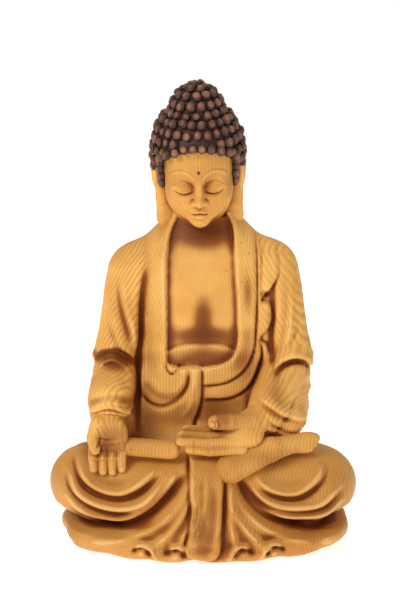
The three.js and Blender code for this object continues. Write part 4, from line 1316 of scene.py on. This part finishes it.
# ---- Brow bead -------------------------------------------------------------------------------
# A bead of darker wood let into the brow, turned with a fine rim.
def turned_wood(name, pale, dark, along=2, roughness=0.6):
    """Plain straight-grained wood: long fibres along one axis."""
    material, place, shader = new_material(name)
    scale = [1, 1, 1]
    scale[along] = 0.06
    fibre = place.stretch(scale).noise(500, 3, 0.6)
    band = place.stretch(scale).noise(120, 2, 0.5)
    colour = (0.6 * fibre + 0.5 * band - 0.1).blend(pale + (1,), dark + (1,))
    bump = place.node("ShaderNodeBump", {"Height": fibre, "Strength": 0.3, "Distance": 0.0002})
    connect(shader, Base_Color=colour, Roughness=roughness, Normal=bump)
    return material


bead_low, bead_high = box_mm("brow_bead")
BEAD = (bead_high - bead_low).mean() / 2
BEAD_UP = 4.5
brow_line = np.array([(0, depth, BEAD_UP) for depth in np.arange(-34, -15, 0.1)], np.float32)
brow_front = brow_line[np.argmax(head.sample(head.depth, brow_line) < 0)]
bead_middle = np.array(head_place @ Vector(brow_front.tolist())) + (0, 0.6, 0)
turn, rise = np.meshgrid(np.linspace(0, 2 * np.pi, 24, endpoint=False),
                         np.linspace(0.001, 1, 14), indexing="ij")
lean = np.pi * (rise - 0.5)
radius = BEAD * np.cos(lean) * (1 - 0.10 * np.exp(-((rise - 0.72) / 0.04) ** 2))
points = np.stack(
    [radius * np.cos(turn), -BEAD * np.sin(lean), radius * np.sin(turn)], axis=-1
).reshape(-1, 3) + bead_middle
bead_mesh = bpy.data.meshes.new("brow_bead_turned")
bead_faces = [tuple(face) for face in grid_faces(24, 14)[:, ::-1].tolist()]
bead_faces += [tuple(range(0, 24 * 14, 14)), tuple(range(13, 24 * 14, 14))[::-1]]
bead_mesh.from_pydata((points * MM).tolist(), [], bead_faces)
bead_mesh.shade_smooth()
stand_for(put_in_scene("brow_bead_turned", bead_mesh), "brow_bead")
bead_mesh.materials.append(turned_wood("dark bead wood", (0.16, 0.06, 0.025), (0.06, 0.02, 0.01), 1, 0.35))


# ---- Dowels and pegs ---------------------------------------------------------------------------
# Plain beech dowels across every seam, pegs in the wrists and a stub under the hair cap.
def finish_nodes(key, material):
    for node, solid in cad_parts.items():
        if key in node:
            solid.data.materials.clear()
            solid.data.materials.append(material)


beech = turned_wood("beech dowel", (0.62, 0.40, 0.20), (0.45, 0.26, 0.12))
for key in ("dowel", "peg"):
    finish_nodes(key, beech)


# ---- Base board, felt and screws ---------------------------------------------------------------
# An oval of plain board closes the well from below, held by four countersunk brass screws and
# faced with glued felt.
def felt_cloth():
    material, place, shader = new_material("brown felt")
    fuzz = place.noise(1600, 4, 0.7)
    cloud = place.noise(90, 3, 0.6)
    colour = (0.5 * fuzz + 0.5 * cloud).blend((0.020, 0.012, 0.008, 1), (0.085, 0.052, 0.034, 1))
    bump = place.node("ShaderNodeBump", {"Height": fuzz, "Strength": 0.8, "Distance": 0.0004})
    connect(shader, Base_Color=colour, Roughness=0.95, Normal=bump, Sheen_Weight=0.4)
    return material


def screw_brass():
    material, place, shader = new_material("drawn brass")
    wear = place.noise(700, 3, 0.6)
    colour = wear.blend((0.50, 0.32, 0.10, 1), (0.72, 0.52, 0.22, 1))
    connect(shader, Base_Color=colour, Metallic=1.0, Roughness=0.25 + 0.25 * wear)
    return material


finish_nodes("base_board", turned_wood("base board wood", (0.48, 0.29, 0.13), (0.30, 0.16, 0.065), 0, 0.75))
finish_nodes("base_felt", felt_cloth())
finish_nodes("base_screw", screw_brass())


# ---- Studio ----------------------------------------------------------------------------------
# A white floor and backdrop under a large soft light from the upper left, with weaker ones on
# the right and above.
floor = put_in_scene("floor", bpy.data.meshes.new("floor"))
floor.data.from_pydata([(-4, -4, 0), (4, -4, 0), (4, 4, 0), (-4, 4, 0)], [], [(0, 1, 2, 3)])
paper, _, paper_shader = new_material("white paper")
connect(
    paper_shader, Base_Color=(0.9, 0.9, 0.9, 1), Roughness=0.9, Emission_Color=(1, 1, 1, 1),
    Emission_Strength=0.72,
)
floor.data.materials.append(paper)


def soft_light(name, place, size, power):
    data = bpy.data.lights.new(name, "AREA")
    data.size, data.energy = size, power
    light = put_in_scene(name, data)
    light.location = place
    light.rotation_mode = "QUATERNION"
    light.rotation_quaternion = (LOOK_AT - Vector(place)).to_track_quat("-Z", "Y")


soft_light("key", (-0.8, -1.0, 1.0), 0.6, 11)
soft_light("fill", (0.9, -0.9, 0.6), 1.0, 1.5)
soft_light("top", (0.1, 0.2, 1.2), 0.8, 3)
world = bpy.data.worlds.new("studio")
world.use_nodes = True
backdrop = world.node_tree.nodes["Background"]
backdrop.inputs["Color"].default_value = (1, 1, 1, 1)
seen = Socket(world.node_tree).node("ShaderNodeLightPath")
world.node_tree.links.new((0.35 + 0.7 * seen).socket, backdrop.inputs["Strength"])
bpy.context.scene.world = world
bpy.context.scene.view_settings.view_transform = "Standard"
